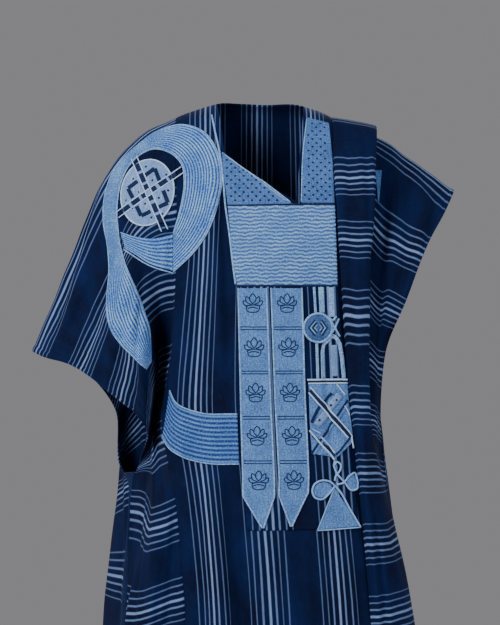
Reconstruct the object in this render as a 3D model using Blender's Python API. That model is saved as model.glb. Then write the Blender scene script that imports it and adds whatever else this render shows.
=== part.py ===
"""A grand boubou: a wide robe of narrow-striped indigo cloth, worn open at the neck and sleeves.

Metres, +Z up, the front faces -Y.  The origin is midway between the two neck points, where the
shoulders hold the robe.  "Right" and "left" are the wearer's, so the right sleeve is at -X.
Every cloth piece is a wall: sections across the cloth are joined by smooth curves down it.
"""

import bpy
import numpy as np
from mathutils import Vector
from mathutils.bvhtree import BVHTree
from mathutils.geometry import delaunay_2d_cdt

# ---- sizes ----
CLOTH = 0.0015            # thickness of the woven strips
PATCH = 0.0010            # thickness of what is sewn on
SEAM_GAP = 0.0006         # pieces stay this far apart at a seam, so 0.3 mm where their walls lean in
SKIN_LIFT = 0.0015        # first layer of sewn-on pieces clears the panel by this
TOP_LIFT = 0.0036         # second layer, above the first
HALF_PANEL = 0.19         # half the width of the middle panel
CUFF = 0.75               # from the middle of the robe to the sleeve's hem
LENGTH = 1.31             # from the shoulder fold to the hem, along the cloth
NECK_SCOOP = 0.040        # depth of the back neckline
NECK_V = 0.192            # depth of the front neck opening

# ---- sections: one row is one line across the cloth, at a distance `down` from the shoulder ----
# Rows with a negative `down` are on the back.  Each place is (x, y, z).
RIGHT_ACROSS = (0.19, 0.26, 0.34, 0.44, 0.59, 0.75)
RIGHT_SECTIONS = (
    # down, seam, inner fold, ridge, over the arm, middle, sleeve edge
    (-1.310, (-0.164, 0.150, -1.372), (-0.216, 0.165, -1.376), (-0.270, 0.165, -1.378),
             (-0.318, 0.150, -1.378), (-0.344, 0.100, -1.376), (-0.302, 0.014, -1.372)),
    (-0.885, (-0.174, 0.140, -0.976), (-0.218, 0.150, -0.982), (-0.262, 0.160, -0.988),
             (-0.300, 0.150, -0.990), (-0.324, 0.110, -0.990), (-0.270, 0.004, -0.982)),
    (-0.735, (-0.180, 0.130, -0.810), (-0.216, 0.130, -0.816), (-0.254, 0.150, -0.826),
             (-0.286, 0.150, -0.830), (-0.304, 0.110, -0.822), (-0.266, 0.046, -0.792)),
    (-0.585, (-0.186, 0.125, -0.642), (-0.218, 0.120, -0.652), (-0.250, 0.140, -0.670),
             (-0.276, 0.150, -0.694), (-0.296, 0.140, -0.718), (-0.298, 0.100, -0.736)),
    (-0.435, (-0.182, 0.125, -0.472), (-0.220, 0.120, -0.486), (-0.256, 0.130, -0.508),
             (-0.278, 0.140, -0.542), (-0.294, 0.140, -0.590), (-0.306, 0.120, -0.636)),
    (-0.285, (-0.178, 0.120, -0.300), (-0.226, 0.120, -0.316), (-0.272, 0.120, -0.350),
             (-0.302, 0.120, -0.396), (-0.332, 0.120, -0.478), (-0.358, 0.100, -0.558)),
    (-0.135, (-0.176, 0.095, -0.126), (-0.230, 0.090, -0.152), (-0.280, 0.085, -0.202),
             (-0.318, 0.080, -0.284), (-0.368, 0.070, -0.406), (-0.426, 0.060, -0.518)),
    (-0.050, (-0.174, 0.050, -0.040), (-0.228, 0.048, -0.070), (-0.280, 0.045, -0.120),
             (-0.324, 0.040, -0.206), (-0.382, 0.034, -0.356), (-0.448, 0.032, -0.510)),
    (0.000, (-0.172, 0.000, -0.024), (-0.228, 0.000, -0.050), (-0.282, 0.000, -0.096),
            (-0.330, 0.000, -0.172), (-0.394, 0.000, -0.330), (-0.466, 0.000, -0.502)),
    (0.050, (-0.170, -0.052, -0.044), (-0.222, -0.052, -0.074), (-0.274, -0.048, -0.126),
            (-0.318, -0.042, -0.212), (-0.376, -0.038, -0.356), (-0.440, -0.038, -0.512)),
    (0.135, (-0.166, -0.100, -0.174), (-0.212, -0.100, -0.192), (-0.258, -0.095, -0.236),
            (-0.292, -0.085, -0.314), (-0.336, -0.080, -0.418), (-0.382, -0.080, -0.526)),
    (0.285, (-0.166, -0.125, -0.330), (-0.206, -0.120, -0.340), (-0.242, -0.130, -0.372),
            (-0.262, -0.140, -0.430), (-0.276, -0.130, -0.500), (-0.300, -0.110, -0.580)),
    (0.435, (-0.180, -0.120, -0.484), (-0.202, -0.040, -0.500), (-0.214, -0.120, -0.532),
            (-0.218, -0.145, -0.578), (-0.222, -0.140, -0.618), (-0.224, -0.120, -0.652)),
    (0.585, (-0.194, -0.120, -0.636), (-0.210, -0.030, -0.650), (-0.216, -0.050, -0.672),
            (-0.224, 0.000, -0.698), (-0.236, 0.030, -0.718), (-0.250, 0.050, -0.734)),
    (0.735, (-0.168, -0.130, -0.788), (-0.188, -0.125, -0.798), (-0.214, -0.100, -0.810),
            (-0.224, -0.050, -0.800), (-0.240, 0.000, -0.790), (-0.266, 0.041, -0.792)),
    (0.885, (-0.152, -0.140, -0.940), (-0.188, -0.140, -0.952), (-0.226, -0.130, -0.968),
            (-0.256, -0.090, -0.976), (-0.258, -0.040, -0.980), (-0.270, -0.001, -0.982)),
    (1.310, (-0.138, -0.155, -1.370), (-0.186, -0.150, -1.372), (-0.234, -0.140, -1.374),
            (-0.290, -0.090, -1.376), (-0.288, -0.030, -1.374), (-0.302, 0.009, -1.372)),
)
LEFT_ACROSS = (0.19, 0.215, 0.255, 0.30, 0.37, 0.45, 0.60, 0.75)
LEFT_SECTIONS = (
    # down, seam, lip, turned-back flap, its folded edge, tuck behind it, mouth of the tuck,
    # middle, sleeve edge
    (-1.310, (0.242, 0.150, -1.372), (0.256, 0.165, -1.374), (0.290, 0.170, -1.376),
             (0.322, 0.160, -1.376), (0.340, 0.135, -1.374), (0.342, 0.100, -1.372),
             (0.330, 0.070, -1.372), (0.320, 0.044, -1.372)),
    (-0.920, (0.216, 0.140, -1.018), (0.228, 0.150, -1.020), (0.256, 0.160, -1.022),
             (0.284, 0.155, -1.020), (0.302, 0.135, -1.014), (0.304, 0.100, -1.004),
             (0.292, 0.070, -0.996), (0.284, 0.044, -0.990)),
    (-0.650, (0.186, 0.130, -0.664), (0.194, 0.135, -0.666), (0.216, 0.145, -0.672),
             (0.240, 0.150, -0.676), (0.254, 0.140, -0.684), (0.260, 0.115, -0.694),
             (0.262, 0.080, -0.712), (0.258, 0.045, -0.734)),
    (-0.450, (0.172, 0.125, -0.428), (0.182, 0.130, -0.430), (0.208, 0.135, -0.434),
             (0.232, 0.130, -0.440), (0.206, 0.110, -0.452), (0.234, 0.100, -0.478),
             (0.246, 0.100, -0.502), (0.256, 0.085, -0.528)),
    (-0.300, (0.164, 0.120, -0.258), (0.172, 0.125, -0.260), (0.202, 0.125, -0.264),
             (0.236, 0.120, -0.272), (0.196, 0.105, -0.290), (0.238, 0.095, -0.328),
             (0.268, 0.100, -0.362), (0.300, 0.095, -0.402)),
    (-0.150, (0.156, 0.090, -0.100), (0.164, 0.092, -0.102), (0.202, 0.090, -0.110),
             (0.242, 0.085, -0.118), (0.194, 0.075, -0.130), (0.244, 0.065, -0.166),
             (0.298, 0.065, -0.204), (0.352, 0.060, -0.254)),
    (-0.055, (0.148, 0.050, -0.038), (0.156, 0.050, -0.038), (0.192, 0.050, -0.044),
             (0.238, 0.048, -0.056), (0.190, 0.042, -0.066), (0.242, 0.036, -0.090),
             (0.314, 0.036, -0.136), (0.384, 0.034, -0.196)),
    (0.000, (0.146, 0.000, -0.024), (0.154, 0.000, -0.024), (0.190, 0.000, -0.030),
            (0.236, 0.000, -0.040), (0.190, 0.000, -0.050), (0.240, 0.000, -0.064),
            (0.318, 0.000, -0.116), (0.398, 0.000, -0.174)),
    (0.045, (0.146, -0.050, -0.040), (0.153, -0.052, -0.038), (0.189, -0.054, -0.044),
            (0.235, -0.052, -0.054), (0.186, -0.042, -0.070), (0.238, -0.036, -0.104),
            (0.306, -0.038, -0.156), (0.374, -0.040, -0.220)),
    (0.100, (0.146, -0.085, -0.116), (0.150, -0.090, -0.112), (0.186, -0.095, -0.114),
            (0.230, -0.090, -0.116), (0.180, -0.075, -0.138), (0.234, -0.065, -0.196),
            (0.284, -0.075, -0.236), (0.342, -0.080, -0.272)),
    (0.240, (0.152, -0.120, -0.248), (0.154, -0.130, -0.244), (0.188, -0.135, -0.246),
            (0.220, -0.125, -0.248), (0.172, -0.105, -0.290), (0.224, -0.095, -0.366),
            (0.258, -0.100, -0.380), (0.290, -0.100, -0.398)),
    (0.376, (0.160, -0.120, -0.382), (0.162, -0.130, -0.376), (0.188, -0.140, -0.380),
            (0.216, -0.130, -0.380), (0.178, -0.110, -0.434), (0.222, -0.100, -0.484),
            (0.236, -0.085, -0.498), (0.252, -0.070, -0.502)),
    (0.513, (0.172, -0.120, -0.572), (0.178, -0.130, -0.566), (0.194, -0.140, -0.566),
            (0.214, -0.135, -0.568), (0.198, -0.100, -0.596), (0.224, -0.090, -0.606),
            (0.236, -0.060, -0.618), (0.244, -0.030, -0.632)),
    (0.650, (0.186, -0.125, -0.702), (0.192, -0.135, -0.698), (0.206, -0.140, -0.698),
            (0.224, -0.120, -0.700), (0.234, -0.080, -0.710), (0.238, -0.050, -0.716),
            (0.246, 0.000, -0.726), (0.258, 0.039, -0.734)),
    (0.787, (0.200, -0.130, -0.840), (0.206, -0.140, -0.836), (0.226, -0.140, -0.836),
            (0.246, -0.120, -0.838), (0.260, -0.090, -0.836), (0.268, -0.050, -0.838),
            (0.266, 0.000, -0.840), (0.268, 0.039, -0.844)),
    (0.924, (0.212, -0.140, -0.978), (0.220, -0.145, -0.976), (0.246, -0.145, -0.974),
            (0.270, -0.125, -0.972), (0.292, -0.090, -0.972), (0.300, -0.050, -0.976),
            (0.292, 0.000, -0.984), (0.284, 0.039, -0.990)),
    (1.310, (0.238, -0.155, -1.370), (0.248, -0.160, -1.372), (0.276, -0.155, -1.372),
            (0.308, -0.130, -1.374), (0.332, -0.090, -1.376), (0.340, -0.040, -1.374),
            (0.330, 0.005, -1.372), (0.320, 0.039, -1.372)),
)
MIDDLE_SECTIONS = (
    # down, the middle of the panel
    (-1.310, (0.000, 0.175, -1.376)),
    (-0.885, (0.000, 0.165, -0.960)),
    (-0.435, (-0.004, 0.150, -0.440)),
    (-0.285, (-0.004, 0.140, -0.275)),
    (-0.135, (-0.004, 0.105, -0.095)),
    (-0.050, (-0.004, 0.055, 0.004)),
    (0.000, (-0.004, 0.000, 0.014)),
    (0.050, (-0.004, -0.052, -0.026)),
    (0.135, (-0.004, -0.100, -0.144)),
    (0.285, (-0.008, -0.135, -0.300)),
    (0.435, (-0.008, -0.145, -0.458)),
    (0.585, (-0.004, -0.150, -0.612)),
    (0.735, (0.006, -0.155, -0.768)),
    (0.885, (0.018, -0.160, -0.914)),
    (1.310, (0.042, -0.175, -1.372)),
)
PANEL_FOLDS = (
    # across, begins at this distance down, width, how far it stands out at the hem (troughs < 0);
    # folds that begin at a negative distance are on the back
    (-0.125, 0.70, 0.045, 0.010),
    (-0.070, 0.20, 0.040, -0.008),
    (-0.005, 0.60, 0.045, 0.010),
    (0.065, 0.75, 0.040, -0.009),
    (0.125, 0.85, 0.040, 0.009),
    (-0.120, -0.20, 0.050, 0.016),
    (-0.055, -0.45, 0.045, -0.014),
    (0.015, -0.15, 0.055, 0.018),
    (0.080, -0.35, 0.045, -0.015),
    (0.135, -0.25, 0.040, 0.012),
)
NECKLINE = (
    # down, wearer's right edge, wearer's left edge, both measured across from the middle
    (0.000, -0.099, 0.119),
    (0.105, -0.080, 0.104),
    (NECK_V, 0.092, 0.092),
)

# ---- where the rows and columns of the meshes run ----
FRONT_DOWN = (0.0, 0.05, 0.105, 0.15, NECK_V, 0.24, 0.285, 0.36, 0.435, 0.51, 0.585, 0.66,
              0.735, 0.81, 0.885, 1.0, 1.15, LENGTH)
BACK_DOWN = (-LENGTH, -1.10, -0.885, -0.735, -0.585, -0.435, -0.285, -0.19, -0.10, -0.04)
RIGHT_COLUMNS = (0.19, 0.21, 0.235, 0.26, 0.28, 0.31, 0.34, 0.365, 0.40, 0.44, 0.50, 0.59,
                 0.67, 0.75)
LEFT_COLUMNS = (0.19, 0.20, 0.215, 0.235, 0.255, 0.28, 0.292, 0.305, 0.32, 0.345, 0.37, 0.395,
                0.42, 0.45, 0.50, 0.55, 0.60, 0.675, 0.75)
NAPE_COLUMNS = (-0.045, 0.010, 0.065)
NECK_LEFT_COLUMNS = 9     # columns from the right seam to the neckline
NECK_RIGHT_COLUMNS = 4    # columns from the neckline to the left seam

# ---- colours ----
INDIGO = (0.010, 0.020, 0.075, 1.0)
LIGHT_BLUE = (0.150, 0.300, 0.600, 1.0)
PALE_BLUE = (0.480, 0.570, 0.720, 1.0)
CLOTH_ROUGHNESS = 0.85

# ---- sewn-on pieces, as they lie seen from the front: (x, z) ----
OUTLINES = {
    "neck_yoke": ((-0.077, -0.096), (0.060, -0.206), (0.070, -0.210), (-0.064, -0.211)),
    "shoulder_band": ((0.095, -0.034), (0.138, -0.046), (0.144, -0.120), (0.147, -0.203),
                      (0.081, -0.206), (0.086, -0.100)),
    "chest_block": ((-0.062, -0.215), (0.147, -0.212), (0.151, -0.367), (-0.044, -0.369), (-0.049, -0.323)),
    "pocket_panel": ((-0.045, -0.372), (0.152, -0.370), (0.166, -0.553), (0.178, -0.701),
                     (0.195, -0.843), (-0.026, -0.847), (-0.033, -0.672)),
    "tab_right": ((-0.043, -0.375), (0.012, -0.375), (0.020, -0.593), (0.026, -0.749),
                  (0.026, -0.782), (0.005, -0.841), (-0.032, -0.782), (-0.032, -0.749),
                  (-0.037, -0.625)),
    "tab_left": ((0.021, -0.375), (0.081, -0.375), (0.087, -0.593), (0.094, -0.739),
                 (0.093, -0.773), (0.060, -0.838), (0.036, -0.778), (0.036, -0.749),
                 (0.029, -0.593)),
    "column_bar": ((0.134, -0.485), (0.150, -0.485), (0.155, -0.550), (0.139, -0.550)),
    "lattice_patch": ((0.096, -0.555), (0.163, -0.555), (0.169, -0.594), (0.175, -0.674),
                      (0.148, -0.707), (0.124, -0.678), (0.100, -0.699), (0.098, -0.652)),
    "triangle_patch": ((0.142, -0.770), (0.190, -0.839), (0.110, -0.842)),
    "waist_band": ((-0.176, -0.592), (-0.152, -0.607), (-0.118, -0.619), (-0.046, -0.621),
                   (-0.042, -0.718), (-0.095, -0.718), (-0.152, -0.705), (-0.180, -0.684),
                   (-0.187, -0.665), (-0.184, -0.620)),
    "swirl_band": ((-0.178, -0.269), (-0.206, -0.278), (-0.261, -0.271), (-0.279, -0.262),
                   (-0.268, -0.297), (-0.247, -0.310), (-0.219, -0.328), (-0.178, -0.340)),
    "neck_piping": ((-0.096, -0.030), (-0.092, -0.030), (-0.079, -0.101), (-0.066, -0.212),
                    (-0.052, -0.323), (-0.047, -0.366), (-0.051, -0.368), (-0.056, -0.323),
                    (-0.070, -0.212), (-0.083, -0.101)),
}
# The long ribbon of the swirl, from its mitred corner over the shoulder and down the sleeve.
# Each row is one line across the ribbon: outer edge, inner edge.
SWIRL_RING = (
    ((-0.172, -0.342), (-0.172, -0.270)),
    ((-0.132, -0.306), (-0.160, -0.232)),
    ((-0.101, -0.261), (-0.153, -0.198)),
    ((-0.086, -0.208), (-0.150, -0.160)),
    ((-0.081, -0.156), (-0.156, -0.130)),
    ((-0.090, -0.106), (-0.172, -0.110)),
    ((-0.115, -0.068), (-0.190, -0.100)),
    ((-0.159, -0.052), (-0.212, -0.097)),
    ((-0.206, -0.068), (-0.240, -0.108)),
    ((-0.250, -0.096), (-0.264, -0.132)),
    ((-0.292, -0.140), (-0.279, -0.165)),
    ((-0.310, -0.190), (-0.285, -0.205)),
    ((-0.311, -0.240), (-0.286, -0.240)),
)
SWIRL_TAIL = (
    ((-0.311, -0.244), (-0.285, -0.244)),
    ((-0.303, -0.292), (-0.279, -0.285)),
    ((-0.300, -0.345), (-0.264, -0.335)),
    ((-0.303, -0.395), (-0.245, -0.380)),
    ((-0.298, -0.440), (-0.231, -0.420)),
    ((-0.276, -0.479), (-0.221, -0.455)),
    ((-0.250, -0.505), (-0.219, -0.480)),
    ((-0.232, -0.522), (-0.219, -0.508)),
)
# Round pieces: middle x, middle z, half width, half height, tilt in degrees, corners
ROUNDS = {
    "knot_medallion": (0.116, -0.453, 0.0285, 0.0285, 0.0, 20),
    "egg_patch": (-0.224, -0.185, 0.052, 0.066, -8.0, 24),
    "leaf_right": (0.119, -0.767, 0.020, 0.015, 20.0, 14),
    "leaf_left": (0.175, -0.754, 0.012, 0.018, 30.0, 14),
}
TOP_LAYER = ("tab_right", "tab_left", "knot_medallion", "column_bar", "lattice_patch",
             "triangle_patch", "leaf_right", "leaf_left")
FACING_FRONT = -0.12      # a face counts as facing the front below this share of -Y
PALE_PIECES = ("egg_patch", "column_bar", "neck_piping")


def clear_scene():
    for thing in list(bpy.data.objects):
        bpy.data.objects.remove(thing)


def curve_weights(knots, places):
    """Rows of weights: a smooth curve through values at the knots, read at the places."""
    knots = np.asarray(knots, float)
    count = len(knots)
    steps = np.diff(knots)
    slopes = np.zeros((count, count))
    slopes[0, :2] = (-1 / steps[0], 1 / steps[0])
    slopes[-1, -2:] = (-1 / steps[-1], 1 / steps[-1])
    for i in range(1, count - 1):
        before, after = steps[i - 1], steps[i]
        slopes[i, i - 1] = -after / (before * (before + after))
        slopes[i, i + 1] = before / (after * (before + after))
        slopes[i, i] = -slopes[i, i - 1] - slopes[i, i + 1]
    weights = np.zeros((len(places), count))
    for row, place in enumerate(places):
        k = int(np.clip(np.searchsorted(knots, place) - 1, 0, count - 2))
        step = steps[k]
        u = (place - knots[k]) / step
        weights[row, k] += 2 * u**3 - 3 * u**2 + 1
        weights[row, k + 1] += 3 * u**2 - 2 * u**3
        weights[row] += step * ((u**3 - 2 * u**2 + u) * slopes[k] + (u**3 - u**2) * slopes[k + 1])
    return weights


def sleeve_surface(sections, knots_across, across, down):
    """Points [down, across, xyz] of a sleeve's outer face."""
    table = np.array([row[1:] for row in sections], float)
    knots_down = [row[0] for row in sections]
    by_row = np.einsum("dk,kax->dax", curve_weights(knots_down, down), table)
    return np.einsum("ak,dkx->dax", curve_weights(knots_across, across), by_row)


def seam_line(sections, knots_across, down):
    return sleeve_surface(sections, knots_across, (HALF_PANEL,), down)[:, 0]


def middle_panel_points(down, across):
    """The middle panel between the two seams; down and across are arrays of one shape."""
    flat_down = down.ravel()
    right = seam_line(RIGHT_SECTIONS, RIGHT_ACROSS, flat_down)
    left = seam_line(LEFT_SECTIONS, LEFT_ACROSS, flat_down)
    knots = [row[0] for row in MIDDLE_SECTIONS]
    table = np.array([row[1] for row in MIDDLE_SECTIONS], float)
    middle = curve_weights(knots, flat_down) @ table
    u = (across.ravel() / HALF_PANEL)[:, None]
    points = middle * (1 - u**2) + right * (u**2 - u) / 2 + left * (u**2 + u) / 2
    points[:, 1] += panel_fold_depth(flat_down, across.ravel())
    return points.reshape(down.shape + (3,))


def panel_fold_depth(down, across):
    """How far the long folds of the middle panel move its points along Y."""
    moved = np.zeros_like(down)
    for place, begins, width, stands in PANEL_FOLDS:
        face = 1.0 if begins > 0 else -1.0
        grows = np.clip((face * down - abs(begins)) / (LENGTH - abs(begins)), 0, 1)
        shape = np.cos(np.clip((across - place) / width, -1, 1) * np.pi / 2) ** 2
        moved -= face * stands * shape * np.sqrt(grows) * grows**0.25
    return moved


def neck_edge(down, side):
    """How far from the middle the neckline's edge is, at a distance down; side is 1 or 2."""
    return float(np.interp(down, [row[0] for row in NECKLINE], [row[side] for row in NECKLINE]))


def grid_triangles(ids):
    """Triangles of a grid of vertex numbers, rows down and columns towards +X."""
    faces = []
    for i in range(ids.shape[0] - 1):
        for j in range(ids.shape[1] - 1):
            a, b, c, d = ids[i, j], ids[i + 1, j], ids[i + 1, j + 1], ids[i, j + 1]
            faces += [(a, b, c), (a, c, d)] if (i + j) % 2 else [(a, b, d), (b, c, d)]
    return faces


def sleeve_mesh(sections, knots_across, columns, side):
    """A sleeve from the back hem, over the shoulder, to the front hem; side is -1 at -X."""
    down = np.array(BACK_DOWN + FRONT_DOWN)
    points = sleeve_surface(sections, knots_across, columns, down)
    points[:, 0] += SEAM_GAP / 2 * unit(points[:, 1] - points[:, 0])
    if side < 0:
        points = points[:, ::-1]
    ids = np.arange(points.shape[0] * points.shape[1]).reshape(points.shape[:2])
    return points.reshape(-1, 3), grid_triangles(ids)


def unit(vectors):
    return vectors / np.maximum(np.linalg.norm(vectors, axis=-1, keepdims=True), 1e-12)


def front_mesh():
    """The front panel: two strips beside the neck opening, which join below it."""
    down = np.array(FRONT_DOWN)
    across = np.array([
        np.concatenate([
            np.linspace(-HALF_PANEL, neck_edge(d, 1), NECK_LEFT_COLUMNS + 1),
            np.linspace(neck_edge(d, 2), HALF_PANEL, NECK_RIGHT_COLUMNS + 1),
        ])
        for d in down
    ])
    points = middle_panel_points(np.repeat(down[:, None], across.shape[1], axis=1), across)
    points[:, 0] += SEAM_GAP / 2 * unit(points[:, 1] - points[:, 0])
    points[:, -1] += SEAM_GAP / 2 * unit(points[:, -2] - points[:, -1])
    points[0] += SEAM_GAP / 2 * unit(points[1] - points[0])
    ids = np.arange(across.size).reshape(across.shape)
    joined = down >= NECK_V
    ids[joined, NECK_LEFT_COLUMNS + 1] = ids[joined, NECK_LEFT_COLUMNS]
    faces = grid_triangles(ids[:, : NECK_LEFT_COLUMNS + 1])
    faces += grid_triangles(ids[:, NECK_LEFT_COLUMNS + 1 :])
    return points.reshape(-1, 3), faces


def back_mesh():
    """The back panel, scooped at the nape."""
    across = np.concatenate([
        np.linspace(-HALF_PANEL, NECKLINE[0][1], NECK_LEFT_COLUMNS + 1),
        NAPE_COLUMNS,
        np.linspace(NECKLINE[0][2], HALF_PANEL, NECK_RIGHT_COLUMNS + 1),
    ])
    neck_middle = (NECKLINE[0][1] + NECKLINE[0][2]) / 2
    neck_half = (NECKLINE[0][2] - NECKLINE[0][1]) / 2
    top = -NECK_SCOOP * np.clip(1 - ((across - neck_middle) / neck_half) ** 2, 0, 1)
    rows = np.array(BACK_DOWN + (0.0,)) / LENGTH
    down = (1 + rows)[:, None] * (top + LENGTH)[None, :] - LENGTH
    points = middle_panel_points(down, np.repeat(across[None, :], len(rows), axis=0))
    points[:, 0] += SEAM_GAP / 2 * unit(points[:, 1] - points[:, 0])
    points[:, -1] += SEAM_GAP / 2 * unit(points[:, -2] - points[:, -1])
    points[-1] += SEAM_GAP / 2 * unit(points[-2] - points[-1])
    ids = np.arange(down.size).reshape(down.shape)
    return points.reshape(-1, 3), grid_triangles(ids)


def drop_unused(points, faces):
    used = sorted({v for face in faces for v in face})
    number = {old: new for new, old in enumerate(used)}
    return points[used], [tuple(number[v] for v in face) for face in faces]


def point_normals(points, faces):
    normals = np.zeros_like(points)
    for a, b, c in faces:
        normals[[a, b, c]] += np.cross(points[b] - points[a], points[c] - points[a])
    return unit(normals)


def share_seam_normals(panels, reach=0.002):
    """Panels that meet at a seam get one direction there, so their walls stay apart."""
    normals = {name: point_normals(*mesh) for name, mesh in panels.items()}
    everything = np.concatenate([mesh[0] for mesh in panels.values()])
    directions = np.concatenate(list(normals.values()))
    start = 0
    for name, (points, _) in panels.items():
        mixed = normals[name].copy()
        for i, point in enumerate(points):
            near = np.linalg.norm(everything - point, axis=1) < reach
            if near.sum() > 1:
                mixed[i] = unit(directions[near].sum(axis=0))
        start += len(points)
        normals[name] = mixed
    return normals


def add_wall(name, outer, inner, faces, material):
    """A closed solid between two skins that have the same triangles."""
    count = len(outer)
    walls = list(faces) + [tuple(v + count for v in reversed(face)) for face in faces]
    directed = {(face[k], face[(k + 1) % 3]) for face in faces for k in range(3)}
    for a, b in sorted(directed):
        if (b, a) not in directed:
            walls += [(b, a, a + count), (b, a + count, b + count)]
    mesh = bpy.data.meshes.new(name)
    mesh.from_pydata([tuple(p) for p in np.concatenate([outer, inner])], [], walls)
    mesh.materials.append(material)
    thing = bpy.data.objects.new(name, mesh)
    bpy.context.scene.collection.objects.link(thing)
    return thing


def make_material(name, colour):
    material = bpy.data.materials.new(name)
    material.use_nodes = True
    shader = material.node_tree.nodes["Principled BSDF"]
    shader.inputs["Base Color"].default_value = colour
    shader.inputs["Roughness"].default_value = CLOTH_ROUGHNESS
    shader.inputs["Metallic"].default_value = 0.0
    return material


def inside(point, outline):
    """Whether a point is inside an outline, by counting the sides to its right."""
    x, z = point
    found = False
    for (x1, z1), (x2, z2) in zip(outline, outline[1:] + outline[:1]):
        if (z1 > z) != (z2 > z) and x < (x2 - x1) * (z - z1) / (z2 - z1) + x1:
            found = not found
    return found


def join_skins(panels):
    """Panels joined into one skin, for laying pieces on: (points, faces)."""
    points, faces = [], []
    for mesh_points, mesh_faces in panels:
        start = len(points)
        points += [Vector(p) for p in mesh_points]
        faces += [tuple(v + start for v in face) for face in mesh_faces]
    return points, faces


def facing_faces(skin, outline):
    """The skin's faces that face the front near an outline."""
    points, faces = skin
    low = (min(p[0] for p in outline), min(p[1] for p in outline))
    high = (max(p[0] for p in outline), max(p[1] for p in outline))
    kept = []
    for face in faces:
        a, b, c = (points[v] for v in face)
        xs, zs = (a.x, b.x, c.x), (a.z, b.z, c.z)
        near = max(xs) > low[0] and min(xs) < high[0] and max(zs) > low[1] and min(zs) < high[1]
        if near and (b - a).cross(c - a).normalized().y < FACING_FRONT:
            kept.append(face)
    return kept


def depth_at(tree, x, z):
    """How far back the skin is at a place seen from the front."""
    hit = tree.ray_cast(Vector((x, -1.0, z)), Vector((0, 1, 0)))[0]
    if hit is None:
        hit = tree.find_nearest(Vector((x, -0.12, z)))[0]
    return hit.y


def lay_on(skin, outline):
    """The part of the skin inside an outline, with its own points: (points, faces)."""
    points = skin[0]
    faces = facing_faces(skin, outline)
    tree = BVHTree.FromPolygons(points, faces)
    used = sorted({v for face in faces for v in face})
    number = {old: new for new, old in enumerate(used)}
    flat = [Vector((points[v].x, points[v].z)) for v in used]
    sides = {tuple(sorted((number[f[k]], number[f[(k + 1) % 3]]))) for f in faces for k in range(3)}
    start = len(flat)
    flat += [Vector(p) for p in outline]
    ring = [(start + i, start + (i + 1) % len(outline)) for i in range(len(outline))]
    places, _, triangles, origins, _, _ = delaunay_2d_cdt(flat, sorted(sides) + ring, [], 0, 1e-6)
    kept = []
    for face in triangles:
        middle = sum((places[v] for v in face), Vector((0, 0))) / 3
        if inside(middle, outline):
            kept.append(tuple(face))
    chosen = sorted({v for face in kept for v in face})
    place_number = {old: new for new, old in enumerate(chosen)}
    laid = []
    for v in chosen:
        known = [points[used[k]].y for k in origins[v] if k < start]
        x, z = places[v]
        laid.append((x, known[0] if known else depth_at(tree, x, z), z))
    laid = np.array(laid)
    turned = []
    for face in kept:
        a, b, c = (place_number[v] for v in face)
        facing = np.cross(laid[b] - laid[a], laid[c] - laid[a])
        turned.append((a, b, c) if facing[1] < 0 else (a, c, b))
    return laid, turned


def ribbon_outline(rows):
    """Once round a ribbon, from rows of (outer edge, inner edge)."""
    return [row[0] for row in rows] + [row[1] for row in reversed(rows)]


def round_outline(middle_x, middle_z, half_width, half_height, tilt, corners):
    turn = np.radians(tilt)
    outline = []
    for k in range(corners):
        angle = 2 * np.pi * k / corners
        x, z = half_width * np.cos(angle), half_height * np.sin(angle)
        outline.append((
            middle_x + x * np.cos(turn) - z * np.sin(turn),
            middle_z + x * np.sin(turn) + z * np.cos(turn),
        ))
    return outline


def add_sewn_piece(name, outline, skin, material):
    points, faces = lay_on(skin, list(outline))
    normals = point_normals(points, faces)
    lift = TOP_LIFT if name in TOP_LAYER else SKIN_LIFT
    add_wall(name, points + normals * (lift + PATCH), points + normals * lift, faces, material)


def build():
    clear_scene()
    indigo = make_material("indigo_cloth", INDIGO)
    light = make_material("light_blue_cloth", LIGHT_BLUE)
    pale = make_material("pale_cloth", PALE_BLUE)
    panels = {
        "sleeve_right": sleeve_mesh(RIGHT_SECTIONS, RIGHT_ACROSS, RIGHT_COLUMNS, -1),
        "sleeve_left": sleeve_mesh(LEFT_SECTIONS, LEFT_ACROSS, LEFT_COLUMNS, 1),
        "front_panel": drop_unused(*front_mesh()),
        "back_panel": back_mesh(),
    }
    normals = share_seam_normals(panels)
    for name, (points, faces) in panels.items():
        add_wall(name, points, points - normals[name] * CLOTH, faces, indigo)
    skin = join_skins([panels["front_panel"], panels["sleeve_right"], panels["sleeve_left"]])
    outlines = dict(OUTLINES)
    outlines["swirl_ring"] = ribbon_outline(SWIRL_RING)
    outlines["swirl_tail"] = ribbon_outline(SWIRL_TAIL)
    for name, sizes in ROUNDS.items():
        outlines[name] = round_outline(*sizes)
    for name, outline in outlines.items():
        cloth = pale if name in PALE_PIECES else light
        add_sewn_piece(name, outline, skin, indigo if name == "pocket_panel" else cloth)


build()
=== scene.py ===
# %% [markdown]
# # A grand boubou in narrow-striped indigo cloth
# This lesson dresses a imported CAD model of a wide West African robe. The frame holds a plain wall
# for each cloth piece; here each one becomes woven, creased and embroidered cloth in the same place.

# %% Load the frame
import math
import bpy
import numpy as np
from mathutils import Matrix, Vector
from mathutils.bvhtree import BVHTree


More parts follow.
